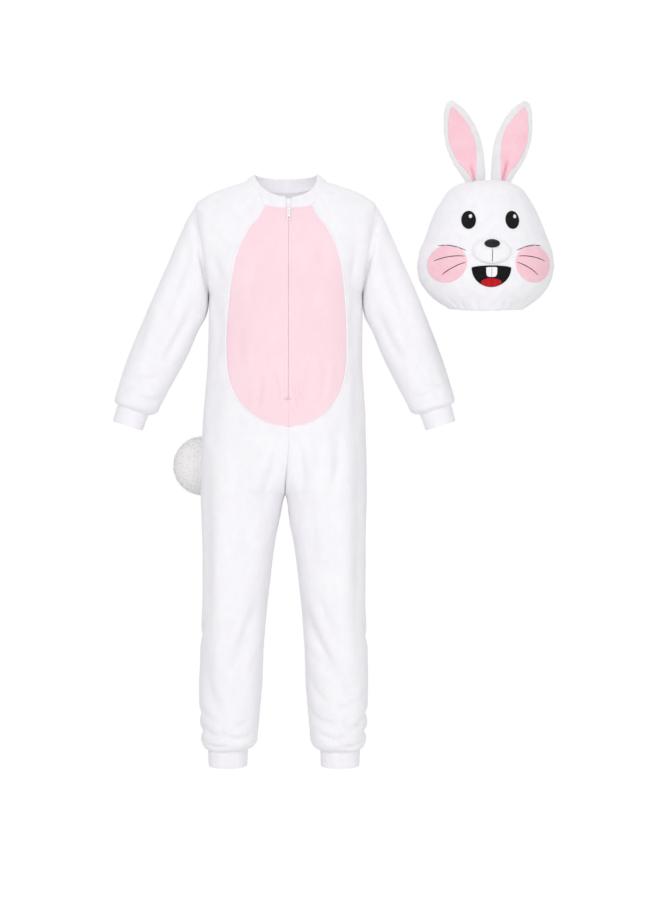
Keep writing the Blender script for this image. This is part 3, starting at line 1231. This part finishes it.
def roundedBlocks(blocks, power, taper=0.0):
    # each block is a superellipsoid: a sphere's cosines and sines raised to a small power, and stretched to
    # its corners
    u, v = sphereTurns(-np.pi / 2, np.pi / 2, *slider["facets"])
    level = signedPower(np.cos(u), power)
    form = np.stack([level * signedPower(np.cos(v), power), level * signedPower(np.sin(v), power),
                     signedPower(np.sin(u), power)], -1).reshape(-1, 3)
    cells = gridCells(*slider["facets"], True, True)
    found = []
    for low, high in blocks:
        low, high = np.array(low), np.array(high)
        points = (low + high) / 2 + form * (high - low) / 2
        points[:, 0] *= 1 - taper * points[:, 2] / zipper["sliderLong"]
        found.append(weld(points, cells))
    return together(*found)


def makeSlider():
    middle = zipper["sliderTop"] - zipper["sliderLong"] / 2
    _, station = placeOnFront(np.zeros(3), middle + slider["slope"] * np.array([1.0, 0.0, -1.0]))
    place = leaning(bodyPoint(np.zeros(3), station))
    down = unitOf(place[2] - place[0])
    out = np.array([0, down[2], -down[1]])
    turned = np.stack([(1, 0, 0), out, down])
    body, cells = roundedBlocks(slider["body"], slider["round"], slider["taper"])
    made = addPiece("zip_slider_casting", body @ turned + place[1], turnedOver(cells),
                    "white enamelled zinc", "zip_metal")
    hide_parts("zip_slider")
    tab, cells = roundedBlocks(slider["pull"], slider["round"])
    made = addPiece("zip_pull_casting", tab @ turned + place[1], turnedOver(cells),
                    "white enamelled zinc", "zip_metal", "zip_pull_tab")
    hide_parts("zip_pull")
    eyes, cells = roundedBlocks(slider["eyes"], slider["eyeRound"])
    addPiece("zip_pull_eyes", eyes @ turned + place[1], turnedOver(cells),
             "tarnished zinc", "zip_metal", "zip_pull_tab")


makeCoil()
makeTape()
makeBarTack()
makeZipStitches()
makeGuard()
makeSlider()
print("zip")


# The tail

tail = {
    "middle": (-213, 126, -691), "core": 72.5, "facets": (49, 96),
    # the hip's radius, how far off its back the backing and the strands stay, and how the backing is pushed
    # clear
    "hip": 110, "off": 2.0, "strandsOff": 3.0, "pushes": 6, "leastShare": 0.2,
    # how many strands and tufts, how far their ways stray, and how much a strand leans into its tuft
    "strands": 15000, "strandStray": 0.012, "tufts": 1500, "tuftStray": 0.03, "gather": 0.5, "gatherStray": 0.02,
    # how far strands reach: the mean and its unevenness, which is a share of the tuft's spread and a share of
    # the strand's own, within bounds
    "reach": 77.0, "uneven": 2.2, "tuftSpread": 0.5, "tuftShare": 0.5, "ownShare": 0.4, "bounds": (-1, 0.66),
    # one strand: how deep it is rooted, its width there, the share of that as the ring's radius at its root
    # and halfway, and how far it bends aside, at least in part
    "rooted": 1.5, "width": 0.6, "rootShare": 0.5, "halfShare": 0.36, "bend": 1.2, "leastBend": 0.3,
}


def offBack(points):
    # how far points are outside the back of the hip, as a share of its own radius: 1 is on the cloth
    sections = np.asarray(jumpsuit["sections"], float)
    station = np.interp(-points[:, 2], -sections[:, 2], sections[:, 0])
    _, _, _, xSide, xLeg, _, _, yBack = readTable(sections, station)
    u = np.maximum(np.abs(points[:, 0]) - xLeg, 0) / (xSide - xLeg)
    v = np.maximum(points[:, 1] / yBack, 0) ** (1 / jumpsuit["fuller"])
    return np.hypot(u, v), xLeg


def fibonacciWays(count):
    # ways spread evenly over a sphere, by the golden angle
    k = np.arange(count) + 0.5
    polar, turn = np.arccos(1 - 2 * k / count), np.pi * (1 + 5 ** 0.5) * k
    return np.stack([np.cos(turn) * np.sin(polar), np.sin(turn) * np.sin(polar), np.cos(polar)], -1)


def strayWays(count, stray):
    ways = fibonacciWays(count)
    return unitOf(ways + rng.normal(scale=stray, size=ways.shape))


def makeTailBacking(middle):
    # a sphere kept clear of the back of the hip
    u, v = sphereTurns(0, np.pi, *tail["facets"])
    ways = np.stack([np.sin(u) * np.cos(v), np.sin(u) * np.sin(v), np.cos(u)], -1).reshape(-1, 3)
    ball = middle + tail["core"] * ways
    clear = 1 + tail["off"] / tail["hip"]
    for _ in range(tail["pushes"]):
        share, xLeg = offBack(ball)
        push = np.where(share < clear, clear / np.maximum(share, tail["leastShare"]), 1.0)
        centreX = np.sign(ball[:, 0]) * xLeg
        ball[:, 0] = centreX + (ball[:, 0] - centreX) * push
        ball[:, 1] *= push
    points, cells = weld(leaning(ball), gridCells(*tail["facets"], False, True))
    backing = addPiece("tail_backing", points, cells, "grey-white acrylic fur", "tail_fur")
    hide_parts("tail")


def tailStrands(middle):
    # the root, the point halfway and the tip of each strand that is clear of the hip, with its ways out and
    # aside
    ways = strayWays(tail["strands"], tail["strandStray"])
    tufts = strayWays(tail["tufts"], tail["tuftStray"])
    nearest = (ways @ tufts.T).argmax(axis=1)
    gathered = ways + (tufts[nearest] - ways) * tail["gather"]
    gathered += rng.normal(scale=tail["gatherStray"], size=ways.shape)
    tuftReach = rng.normal(scale=tail["tuftSpread"], size=tail["tufts"])[nearest]
    further = tail["tuftShare"] * tuftReach + tail["ownShare"] * rng.normal(size=len(ways))
    reach = tail["reach"] + tail["uneven"] * np.clip(further, *tail["bounds"])
    aside = rng.normal(size=ways.shape)
    aside = unitOf(aside - ways * (ways * aside).sum(axis=1, keepdims=True))
    root = middle + ways * (tail["core"] - tail["rooted"])
    tip = middle + unitOf(gathered) * reach[:, None]
    half = (root + tip) / 2 + aside * rng.uniform(tail["leastBend"], 1, (len(ways), 1)) * tail["bend"]
    standing = np.ones(len(ways), bool)
    for points in (root, half, tip):
        standing &= offBack(points)[0] > 1 + tail["strandsOff"] / tail["hip"]
    return [values[standing] for values in (root, half, tip, ways, aside)]


def makeTail():
    # the fur is made of bent three-sided spikes, which stand on a backing
    middle = np.array(tail["middle"], float)
    makeTailBacking(middle)
    root, half, tip, ways, aside = tailStrands(middle)
    other = np.cross(ways, aside)
    j = np.arange(3)
    k = (j + 1) % 3
    turn = 2 * np.pi * j / 3
    around = aside[:, None] * np.cos(turn)[None, :, None] + other[:, None] * np.sin(turn)[None, :, None]
    around *= tail["width"]
    rows = [root[:, None] + around * tail["rootShare"], half[:, None] + around * tail["halfShare"], tip[:, None]]
    points = np.concatenate(rows, axis=1)
    lower = np.stack([j, k, 3 + k, 3 + j], -1)
    form = np.concatenate([lower, np.stack([3 + j, 3 + k, 0 * j + 6, 0 * j + 6], -1)])
    cells = form[None] + points.shape[1] * np.arange(len(points))[:, None, None]
    addPiece("tail_strands", leaning(points.reshape(-1, 3)), cells.reshape(-1, 4),
             "grey-white acrylic fur", "tail_fur", crease=180)
    print("tail", len(points), "strands")


makeTail()


# The head: two halves of foam-backed plush, sewn over the crown and down both sides, open at the neck

head = {
    "place": (499.0, 0.0, -297.0),
    # station, height, half the width, and the depth in front and behind
    "sections": (
        (0, 315, 0, 0, 0),
        (1, 311, 46, 42, 44),
        (2, 303, 73, 68, 72),
        (3, 290, 92, 86, 92),
        (4, 268, 108, 101, 109),
        (5, 238, 125, 116, 124),
        (6, 204, 139, 129, 136),
        (7, 170, 152, 139, 144),
        (8, 138, 163, 146, 147),
        (9, 108, 167, 150, 143),
        (10, 80, 164, 148, 136),
        (11, 53, 151, 140, 126),
        (12, 28, 129, 124, 114),
        (13, 9, 102, 104, 101),
        (14, 0, 86, 92, 92),
    ),
    "neck": 14,  # station of the neck's edge
    "wall": 5.0, "step": 4.6, "columns": (72, 0.35), "rim": (3, 0.05),
    # the neck's edge climbs behind and dips in front, from this station on
    "rimFrom": 11, "rimRise": 20, "rimDrop": 13,
    # the seam between face and back: height, distance and half width of the swells beside it, and its depth
    # and half width; then how far its puckers reach, and how far off they start
    "seam": (0.8, 5.2, 2.6, 1.9, 2.6), "pucker": (12, 3),
    "features": (155, 130, 108),  # half width, middle height and half height of the even ground under them
    # gathers at the neck's edge: angle from the middle in degrees, depth, half width and length
    "gathers": {
        "mask_face": ((-71, 2.4, 3.5, 18), (-52, 3.6, 4, 26), (-38, 2.25, 3, 16), (-17, 3.0, 4, 21),
                      (4, 1.95, 3, 14), (21, 3.3, 4, 24), (35, 2.1, 3, 15), (56, 3.75, 4, 27),
                      (74, 2.25, 3.5, 17)),
        "mask_back": ((-66, 2.4, 4, 20), (-31, 3.15, 4, 24), (-6, 2.1, 3, 16), (26, 3.3, 4, 22),
                      (61, 2.55, 4, 19)),
    },
    # where they are deepest, the neck's radius, and the ridges beside each, as a share of its depth and a
    # distance in half widths
    "gatherAt": 17, "neckRadius": 100, "gatherRidge": (0.45, 2.1),
    # the hem's row of stitches: distance from the neck's edge, depth and half width
    "hem": (13, 0.7, 1.3),
    # where the ears' feet draw the crown in: how far aside, how much narrower front to back, radius, depth,
    # half width and the height above which it shows
    "feet": (32, 1.6, 27, 1.3, 5, 250),
}
headMiddles = {"mask_face": 0.0, "mask_back": np.pi}  # the turn at the middle of each half


def headPoint(turn, station):
    # a ring: sine across, and cosine forwards with a depth of its own in front and behind
    z, half, front, back = readTable(head["sections"], station)
    forward = np.cos(turn)
    deep = np.where(forward > 0, front, back)
    low = ramp(station, head["rimFrom"], head["neck"])
    climb = head["rimRise"] * low * np.maximum(-forward, 0) - head["rimDrop"] * low ** 2 * np.maximum(forward, 0)
    return np.stack([half * np.sin(turn), -deep * forward, z + climb], -1)


def fromNeck(grid):
    # how far each point is from the neck's edge: its row's mean
    return np.repeat(edgeReach(grid)["rowEnd"].mean(axis=1), grid.shape[1])


def headRelief(name, grid):
    points, above = grid.reshape(-1, 3), fromNeck(grid)
    reach = edgeReach(grid)
    beside = np.minimum(reach["colStart"], reach["colEnd"]).ravel()
    depth = seamProfile(beside, *head["seam"]) + puckers("head pucker", points, beside, *head["pucker"])
    wide, middleZ, tall = head["features"]
    ground = np.exp(-(points[:, 0] / wide) ** 4 - ((points[:, 2] - middleZ) / tall) ** 4)
    uneven = rippled("head swell", points) + rippled("head dent", points)
    depth += uneven * (1 - ground * (name == "mask_face")) + rippled("head pile", points)
    angle = np.degrees(np.arctan2(points[:, 0], -points[:, 1]) - headMiddles[name] + np.pi) % 360 - 180
    ridge, ridgeAt = head["gatherRidge"]
    for at, drop, width, length in head["gathers"][name]:
        away = np.radians(angle - at) * head["neckRadius"]
        profile = bell(away, width) - ridge * bell(np.abs(away) - ridgeAt * width, width)
        depth -= bell(above - head["gatherAt"], length) * drop * profile
    hemAt, hemDepth, hemHalf = head["hem"]
    depth -= hemDepth * bell(above - hemAt, hemHalf)
    aside, narrower, radius, drop, width, lowest = head["feet"]
    for sign in sides.values():
        away = np.hypot(points[:, 0] - earShift - sign * aside, points[:, 1] * narrower)
        depth -= drop * bell(away - radius, width) * (points[:, 2] > lowest)
    return depth


def makeHead():
    rows = evenly(lambda s: headPoint(np.full(len(s), np.pi / 2), s), 0, head["neck"], head["step"])
    grids, flat = {}, {}
    for name, middle in headMiddles.items():
        turns = middle + clustered(*head["columns"]) * np.pi - np.pi / 2
        grids[name] = headPoint(turns[None, :], rows[:, None])
        flat[name] = (grids[name].reshape(-1, 3), gridCells(*grids[name].shape[:2]))
    normals = normalsOf(flat)
    for name, (points, cells) in flat.items():
        flat[name] = (points + normals[name] * headRelief(name, grids[name])[:, None], cells)
    normals = normalsOf(flat)
    for name, (points, cells) in flat.items():
        thick = head["wall"] * roundedRim(fromNeck(grids[name]), *head["rim"])
        welded = weld(points + head["place"], cells, normals[name], thick)
        made = addPiece(f"{name}_cloth", *shell(*welded), "foam-backed white plush", "mask_plush")
        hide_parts(name)


# Ears, in the head's frame

earShift = 6.0  # the pair stands this far to the wearer's left of the head's middle
ear = {
    # station, height, inner and outer outline, and thickness
    "sections": (
        (0, 306, 8, 54, 20),
        (1, 332, 7.5, 65, 24),
        (2, 362, 9, 85, 25),
        (3, 392, 12.5, 99, 24),
        (4, 422, 18, 107.5, 22),
        (5, 452, 30, 110.5, 20),
        (6, 482, 47, 110, 17),
        (7, 501, 63, 107.5, 13),
        (8, 514, 79, 102, 8),
        (9, 521, 91, 91, 0),
    ),
    "top": 9,  # station of the tip
    "step": 3.2, "points": 96,
    # the foot stands on the crown with a gap, closed by so many rings, and is bent to it over one station
    "gap": 0.4, "footRings": 8, "footStations": 1.0,
    # the seam round the edge: height, distance and half width of the swell beside it, and its depth and half
    # width; then how a distance from the middle plane counts along the cloth, and the height at which it ends
    "seam": (0.9, 3.2, 2.0, 0.9, 1.3), "alongCloth": 1.2, "seamEnd": 508,
    "slackFrom": (318, 338),  # heights between which the plush turns uneven
    # the pink panel: station, and its inner and outer edge as shares of the half width
    "panel": ((0.35, 0.26, 0.28), (0.8, -0.1, 0.36), (1.2, -0.26, 0.46), (2, -0.45, 0.66), (3, -0.58, 0.78),
              (4, -0.63, 0.8), (5, -0.59, 0.74), (6, -0.37, 0.62), (6.6, -0.18, 0.48), (6.95, 0.0, 0.34),
              (7.12, 0.15, 0.19)),
    "panelThick": 1.3, "panelGap": 0.15, "panelStep": 2.4, "panelColumns": (36, 0.5), "panelRim": (1.2, 0.06),
    "panelSeam": (0.5, 2.4, 1.4, 0.5, 1.1),
    # creases on each ear's front, pinched in at the foot: x and z of both ends, half width and height
    "creases": {
        "right": ((43, 358, 35, 320, 2.8, -6.5), (44, 372, 33, 312, 8, -3.0), (60, 430, 42, 350, 11, -1.6),
                  (70, 400, 62, 350, 8, -0.8)),
        "left": ((48, 370, 36, 322, 2.8, -7.5), (52, 386, 36, 312, 8, -3.2), (66, 448, 50, 368, 10, -1.9),
                 (34, 400, 30, 350, 8, -0.7)),
    },
    # heights of a crease's bell and of the wider bell taken from it, how much wider that is, the share of the
    # line over which it comes in, and how much of it shows at the line's end
    "crest": 1.2, "skirt": 0.3, "wider": 2.2, "comesIn": 0.25, "least": 0.25,
}


def crownHeight(x, y):
    # the head's height near its top, from the mean radius of its rings
    lowest, count = 5, 60
    z, half, front, back = readTable(head["sections"], np.linspace(0, lowest, count))
    return np.interp(np.hypot(x, y), (half + (front + back) / 2) / 2, z)


def earPoint(station, turn):
    # a ring of the left ear: cosine from its inner to its outer outline, sine forwards
    z, low, high, thick = readTable(ear["sections"], station)
    x = (low + high) / 2 + (high - low) / 2 * np.cos(turn)
    return np.stack([x, -thick / 2 * np.sin(turn), z + 0 * turn], -1)


def earRelief(points, side):
    # troughs on the front, each a bell away from its line that fades at its first end
    depth = np.zeros(len(points))
    for x1, z1, x2, z2, width, height in ear["creases"][side]:
        start, run = np.array((x1, z1)), np.array((x2 - x1, z2 - z1))
        off = points[:, [0, 2]] - start
        along = off @ run / (run @ run)
        away = np.linalg.norm(off - np.clip(along, 0, 1)[:, None] * run, axis=1)
        ends = np.clip(along / ear["comesIn"], ear["least"], 1)
        profile = ear["crest"] * bell(away, width) - ear["skirt"] * bell(away, ear["wider"] * width)
        depth += height * profile * ends
    return depth * (points[:, 1] < 0)


def onHead(points, sign):
    return points * np.array([sign, 1, 1]) + head["place"] + np.array([earShift, 0, 0])


def earGrid(sign):
    # rings from the middle of the foot up to the tip, the foot bent to the crown it stands on
    rows = evenly(lambda s: earPoint(s, np.zeros(len(s))), 0, ear["top"], ear["step"])
    turns = np.linspace(0, 2 * np.pi, ear["points"], endpoint=False)
    grid = earPoint(rows[:, None], turns[None, :])
    foot = head["wall"] / 2 + ear["gap"]
    lowest = crownHeight(grid[0, :, 0] + sign * earShift, grid[0, :, 1]) + foot
    sink = ramp(rows, ear["footStations"], 0)[:, None]
    grid[..., 2] += (lowest[None, :] - grid[0, :, 2][None, :]) * sink
    middle = grid[0].mean(axis=0)
    under = middle + (grid[0] - middle) * np.linspace(0, 1, ear["footRings"] + 1)[:-1, None, None]
    under[..., 2] = crownHeight(under[..., 0] + sign * earShift, under[..., 1]) + foot
    return np.concatenate([under, grid])


def makeEar(side, sign):
    grid = earGrid(sign)
    flat, cells = grid.reshape(-1, 3), gridCells(*grid.shape[:2], False, True)
    normals = ownNormals(flat, cells)
    upper = np.arange(len(flat)) >= ear["footRings"] * ear["points"]
    depth = earRelief(flat, side) * (normals[:, 1] < 0)
    depth += seamProfile(np.abs(flat[:, 1]) * ear["alongCloth"], *ear["seam"]) * (flat[:, 2] < ear["seamEnd"])
    uneven = rippled("ear slack", flat, sign) + rippled("ear pile", flat)
    depth += uneven * ramp(flat[:, 2], *ear["slackFrom"])
    points, kept = weld(flat + normals * (depth * upper)[:, None], cells)
    made = addPiece(f"ear_{side}_plush", onHead(points, sign), kept if sign > 0 else turnedOver(kept),
                    "white ear plush", "mask_plush")
    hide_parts(f"ear_{side}")


def makePanel(side, sign):
    # the pink panel: the ear's own front surface between two edges, moved out a little and creased with it
    table = np.asarray(ear["panel"], float)
    rows = evenly(lambda s: earPoint(s, np.full(len(s), np.pi / 2)), table[0, 0], table[-1, 0], ear["panelStep"])
    inner, outer = readTable(table, rows)
    share = inner[:, None] + (outer - inner)[:, None] * clustered(*ear["panelColumns"])[None, :]
    grid = earPoint(rows[:, None] + 0 * share, np.arccos(share))
    flat, cells = grid.reshape(-1, 3), gridCells(*grid.shape[:2], True)
    normals = ownNormals(flat, cells)
    reach = edgeReach(grid)
    away = np.minimum(reach["colStart"], reach["colEnd"]).ravel()
    depth = earRelief(flat, side) + rippled("lining slack", flat, sign) + rippled("lining pile", flat)
    depth += seamProfile(away, *ear["panelSeam"])
    thick = ear["panelThick"] * roundedRim(away, *ear["panelRim"])
    points, kept, normals, thick = weld(flat + normals * depth[:, None], cells, normals, thick)
    solid, faces = shell(points, kept, normals, thick, thick / 2 + ear["panelGap"])
    made = addPiece(f"ear_lining_{side}_cloth", onHead(solid, sign), faces if sign > 0 else turnedOver(faces),
                    "pink short plush", "pink_plush")
    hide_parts(f"ear_lining_{side}")


makeHead()
for side, sign in sides.items():
    makeEar(side, sign)
    makePanel(side, sign)
print("head and ears")


# The face: plain felt and plush shapes sewn flat on the front, and what lies on them

face = {
    # name: x, z, half width, half height, share of that above the middle, rim, rise, the outline's power (1
    # is an ellipse and less is squarer), what it lies on, finish and slot
    "mask_cheek_right": (-103, 100, 45, 44, 1.0, 1.5, 0.8, 1, None, "pink short plush", "pink_plush"),
    "mask_cheek_left": (103, 100, 45, 44, 1.0, 1.5, 0.8, 1, None, "pink short plush", "pink_plush"),
    "mask_eye_right": (-52, 204, 17, 23, 1.0, 1.4, 0.9, 1, None, "black felt", "black_felt"),
    "mask_eye_left": (52, 204, 17, 23, 1.0, 1.4, 0.9, 1, None, "black felt", "black_felt"),
    "mask_muzzle": (0, 126, 46, 31, 1.0, 2.0, 16.0, 1, None, "foam-backed white plush", "mask_plush"),
    "mask_mouth": (0, 86, 47, 44, 0.12, 1.4, 0.4, 1, None, "black felt", "black_felt"),
    "mask_nose": (0, 139, 17, 11, 1.0, 2.4, 5.5, 1, "mask_muzzle", "black polyester satin", "black_satin"),
    "mask_teeth": (0, 85, 13, 20, 0.12, 1.5, 0.4, 0.5, "mask_mouth", "white felt", "white_felt"),
    "mask_tongue": (0, 53, 24, 9.5, 1.0, 1.3, 0.5, 1, "mask_mouth", "red felt", "red_felt"),
}
stuffed = ("mask_muzzle", "mask_nose")
pad = {
    "gap": 0.2,  # under it
    "rings": 17, "spokes": 80, "leastRim": 0.03, "pileRim": 6,  # its pile fades over one part in six, at the rim
}


def facePlace(x, z):
    # the face's point at x and z in front view by Newton's steps, and its normal from two nudges
    sections = np.asarray(head["sections"], float)
    station = np.interp(-z, -sections[:, 1], sections[:, 0])
    rounds, nudge, least, furthest = 8, 0.01, 1e-3, 0.98
    for _ in range(rounds):
        here, ahead = readTable(sections, station)[0], readTable(sections, station + nudge)[0]
        station = station + (z - here) / ((ahead - here) / nudge)
    turn = np.arcsin(np.clip(x / readTable(sections, station)[1], -furthest, furthest))
    here = headPoint(turn, station)
    normal = np.cross(headPoint(turn, station + least) - here, headPoint(turn + least, station) - here)
    return here + head["place"], unitOf(normal)


def reachOf(name, x, z):
    # 0 at a pad's middle and 1 on its outline, a superellipse
    midX, midZ, halfX, halfZ, top, _, _, power = face[name][:8]
    high = halfZ * np.where(z > midZ, top, 1.0)
    return ((np.abs(x - midX) / halfX) ** (2 / power) + (np.abs(z - midZ) / high) ** (2 / power)) ** (power / 2)


def heightOf(name, x, z):
    # a pad's height: a quarter circle at its rim, and a dome that is the square root of one less the reach
    # squared
    halfX, halfZ, _, rim, rise = face[name][2:7]
    reach = np.clip(reachOf(name, x, z), 0, 1)
    inside = (1 - reach) * min(halfX, halfZ)
    return rim * roundedRim(inside, rim, pad["leastRim"]) + rise * np.sqrt(1 - reach ** 2)


def standOf(x, z):
    # how far the topmost surface at x and z stands off the middle of the head's wall
    stand = np.full(np.shape(x), head["wall"] / 2)
    for name in face:
        stand = np.where(reachOf(name, x, z) < 1, stand + pad["gap"] + heightOf(name, x, z), stand)
    return stand


def padCut(name):
    # its width and height, measured across and down the head's curve
    midX, midZ, halfX, halfZ, top = face[name][:5]
    share = np.linspace(0, 1, 30)
    wide = facePlace(midX + halfX * (2 * share - 1), midZ + 0 * share)[0]
    tall = facePlace(midX + 0 * share, midZ + halfZ * (top - (1 + top) * share))[0]
    return alongLength(wide)[-1] * mm, alongLength(tall)[-1] * mm


def makePad(name):
    midX, midZ, halfX, halfZ, top, _, _, power, under, finish, slot = face[name]
    rings = np.sin(np.linspace(np.pi / 2, 0, pad["rings"]))[:, None]
    spokes = np.linspace(0, 2 * np.pi, pad["spokes"], endpoint=False)
    across, up = signedPower(np.cos(spokes), power), signedPower(np.sin(spokes), power)
    x = midX + halfX * rings * across[None, :]
    z = midZ + halfZ * rings * (up * np.where(up > 0, top, 1.0))[None, :]
    here, normal = facePlace(x, z)
    base = head["wall"] / 2 + pad["gap"] + 0 * x
    if under:
        base = base + heightOf(under, x, z) + pad["gap"]
    uneven = rippled("pad pile", here.reshape(-1, 3)).reshape(x.shape)
    height = heightOf(name, x, z) + uneven * np.minimum((1 - rings) * pad["pileRim"], 1)
    low, high = here + normal * base[..., None], here + normal * (base + height)[..., None]
    grid = np.concatenate([low[::-1], high])
    points, cells = weld(grid.reshape(-1, 3), gridCells(*grid.shape[:2], True, True))
    made = addPiece(f"{name}_pad", points, cells, finish, slot)
    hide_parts(name)
    if name in stuffed:
        return
    wide, tall = padCut(name)


for padName in face:
    makePad(padName)

faceLines = {
    # satin-stitched lines in black: points (x, z) of a bent line, and its width
    "whisker_1": (((60, 128), (92, 141), (124, 145)), 2.2),
    "whisker_2": (((63, 114), (97, 115), (132, 108)), 2.2),
    "whisker_3": (((60, 100), (88, 90), (114, 74)), 2.2),
    "lip": (((0, 126), (0, 112), (0, 99)), 1.8),
    "tooth": (((0, 86), (0, 76), (0, 66)), 0.9),
}
satin = {
    # how far apart threads are, how much wider each is, its height, how high it lies and how much it slants
    "pitch": 0.55, "overlap": 1.25, "tall": 0.7, "lift": 0.1, "slant": 0.12,
    "points": 60, "blunt": 6, "leastEnd": 0.15,  # of a line: its points, the power of its ends and their least
}
glint = {
    # the white glint sewn on each eye: how far aside of the eye's middle, height, and its radius
    "aside": 5, "z": 212, "radius": 4.8,
    # its threads go from so far below its middle to so far above; then how far apart they are, the square of
    # half the shortest one, how high they lie, and each one's width and height
    "from": -4.4, "to": 4.5, "pitch": 0.55, "least": 0.6, "lift": 0.25, "width": 0.75, "tall": 0.8,
}


def satinLine(knots, width):
    # threads laid across a bent line on the face, side by side
    flat = bentLine(*np.array(knots, float), np.linspace(0, 1, satin["points"])[:, None])
    here, out = facePlace(flat[:, 0], flat[:, 1])
    line = here + out * (standOf(flat[:, 0], flat[:, 1]) + satin["lift"])[:, None]
    place, run = spaced(line, satin["pitch"])
    length = alongLength(line)
    out = interpRows(np.linspace(0, length[-1], len(place)), length, out)
    along = np.abs(np.linspace(-1, 1, len(place)))
    taper = np.sqrt(np.clip(1 - along ** satin["blunt"], satin["leastEnd"], 1))
    broad, tall = satin["pitch"] * satin["overlap"], satin["tall"]
    size = np.stack([width * taper, np.full(len(place), broad), np.full(len(place), tall)], -1)
    return threads(place, np.cross(out, run) + unitOf(run) * satin["slant"], out, size)


def eyeGlint(eyeX):
    z = glint["z"] + np.arange(glint["from"], glint["to"], glint["pitch"])
    x = np.full(len(z), float(eyeX + glint["aside"]))
    here, out = facePlace(x, z)
    place = here + out * (standOf(x, z) + glint["lift"])[:, None]
    wide = 2 * np.sqrt(np.clip(glint["radius"] ** 2 - (z - glint["z"]) ** 2, glint["least"], None))
    across = np.cross(np.tile([0.0, 0, 1], (len(z), 1)), -out)
    size = np.stack([wide, np.full(len(z), glint["width"]), np.full(len(z), glint["tall"])], -1)
    return threads(place, across, out, size)


def makeFaceSewing():
    black = []
    for name, (knots, width) in faceLines.items():
        black.append(satinLine(knots, width))
        if name.startswith("whisker"):
            black.append(satinLine([(-x, z) for x, z in knots], width))
    white = [eyeGlint(face[f"mask_eye_{side}"][0]) for side in sides]
    addPiece("mask_black_stitches", *together(*black), "black polyester thread", "black_satin")
    addPiece("mask_white_stitches", *together(*white), "white polyester thread", "white_felt")


makeFaceSewing()
print("face")


# Floor, light and camera

studio = {
    "cameraAt": (0.110, -4.0, -0.650), "lens": 64, "sensor": 36,
    "floorHeight": -2.15, "floorSize": 40, "floorColour": "#F2F2F2",
    "worldLight": 0.69, "background": 1.0,
    "lights": (
        # name, place, target, size and watts
        ("key", (-1.6, -3.7, 0.7), (0.0, 0, -0.95), 2.0, 38),
        ("fill", (1.9, -3.7, -0.9), (0.1, 0, -1.0), 2.4, 34),
        ("top", (0.1, 0.2, 2.4), (0.1, 0, -0.4), 2.0, 12),
        ("inside the neck", (0.0, -0.03, -0.12), (0.0, 0.07, 0.0), 0.13, 0.12),
    ),
}


def addObject(name, data, place=(0, 0, 0), turn=(0, 0, 0)):
    made = bpy.data.objects.new(name, data)
    made.location = place
    made.rotation_euler = turn
    bpy.context.scene.collection.objects.link(made)
    return made


def cameraSees(tree, lit, seen):
    # one shader for the light in the scene, and another for what the camera itself sees
    isCamera = addNode(tree, "ShaderNodeLightPath").outputs["Is Camera Ray"]
    links = {0: isCamera, 1: lit.outputs[0], 2: seen.outputs[0]}
    return addNode(tree, "ShaderNodeMixShader", (), links).outputs[0]


def makeFloor():
    half = studio["floorSize"] / 2
    mesh = bpy.data.meshes.new("floor")
    corners = [(-half, -half), (half, -half), (half, half), (-half, half)]
    mesh.from_pydata([(x, y, studio["floorHeight"]) for x, y in corners], [], [(0, 1, 2, 3)])
    paper = bpy.data.materials.new("white paper floor")  # matt and even, and lit from below as on a light table
    paper.use_nodes = True
    tree = paper.node_tree
    shader = tree.nodes["Principled BSDF"]
    shader.inputs["Base Color"].default_value = linear(studio["floorColour"])
    shader.inputs["Roughness"].default_value = 1.0
    white = addNode(tree, "ShaderNodeEmission", {"Color": (1, 1, 1, 1), "Strength": studio["background"]})
    tree.links.new(cameraSees(tree, shader, white), tree.nodes["Material Output"].inputs["Surface"])
    mesh.materials.append(paper)
    addObject("floor", mesh)


def makeWorld():
    world = bpy.data.worlds.new("studio")
    bpy.context.scene.world = world
    world.use_nodes = True
    tree = world.node_tree
    tree.nodes.clear()
    glow, plain = (addNode(tree, "ShaderNodeBackground", {"Color": (1, 1, 1, 1), "Strength": studio[strength]})
                   for strength in ("worldLight", "background"))
    addNode(tree, "ShaderNodeOutputWorld", (), {"Surface": cameraSees(tree, glow, plain)})


def makeStudio():
    scene = bpy.context.scene
    scene.view_settings.view_transform = "Standard"
    lens = bpy.data.cameras.new("camera")
    lens.lens, lens.sensor_width = studio["lens"], studio["sensor"]
    scene.camera = addObject("camera", lens, studio["cameraAt"], (math.pi / 2, 0, 0))
    makeFloor()
    makeWorld()
    for name, place, target, size, watts in studio["lights"]:
        lamp = bpy.data.lights.new(name, "AREA")
        lamp.shape, lamp.size, lamp.energy = "SQUARE", size, watts
        x, y, z = np.array(target) - np.array(place)
        addObject(name, lamp, place, (math.atan2(math.hypot(x, y), -z), 0, math.atan2(y, x) - math.pi / 2))


makeStudio()
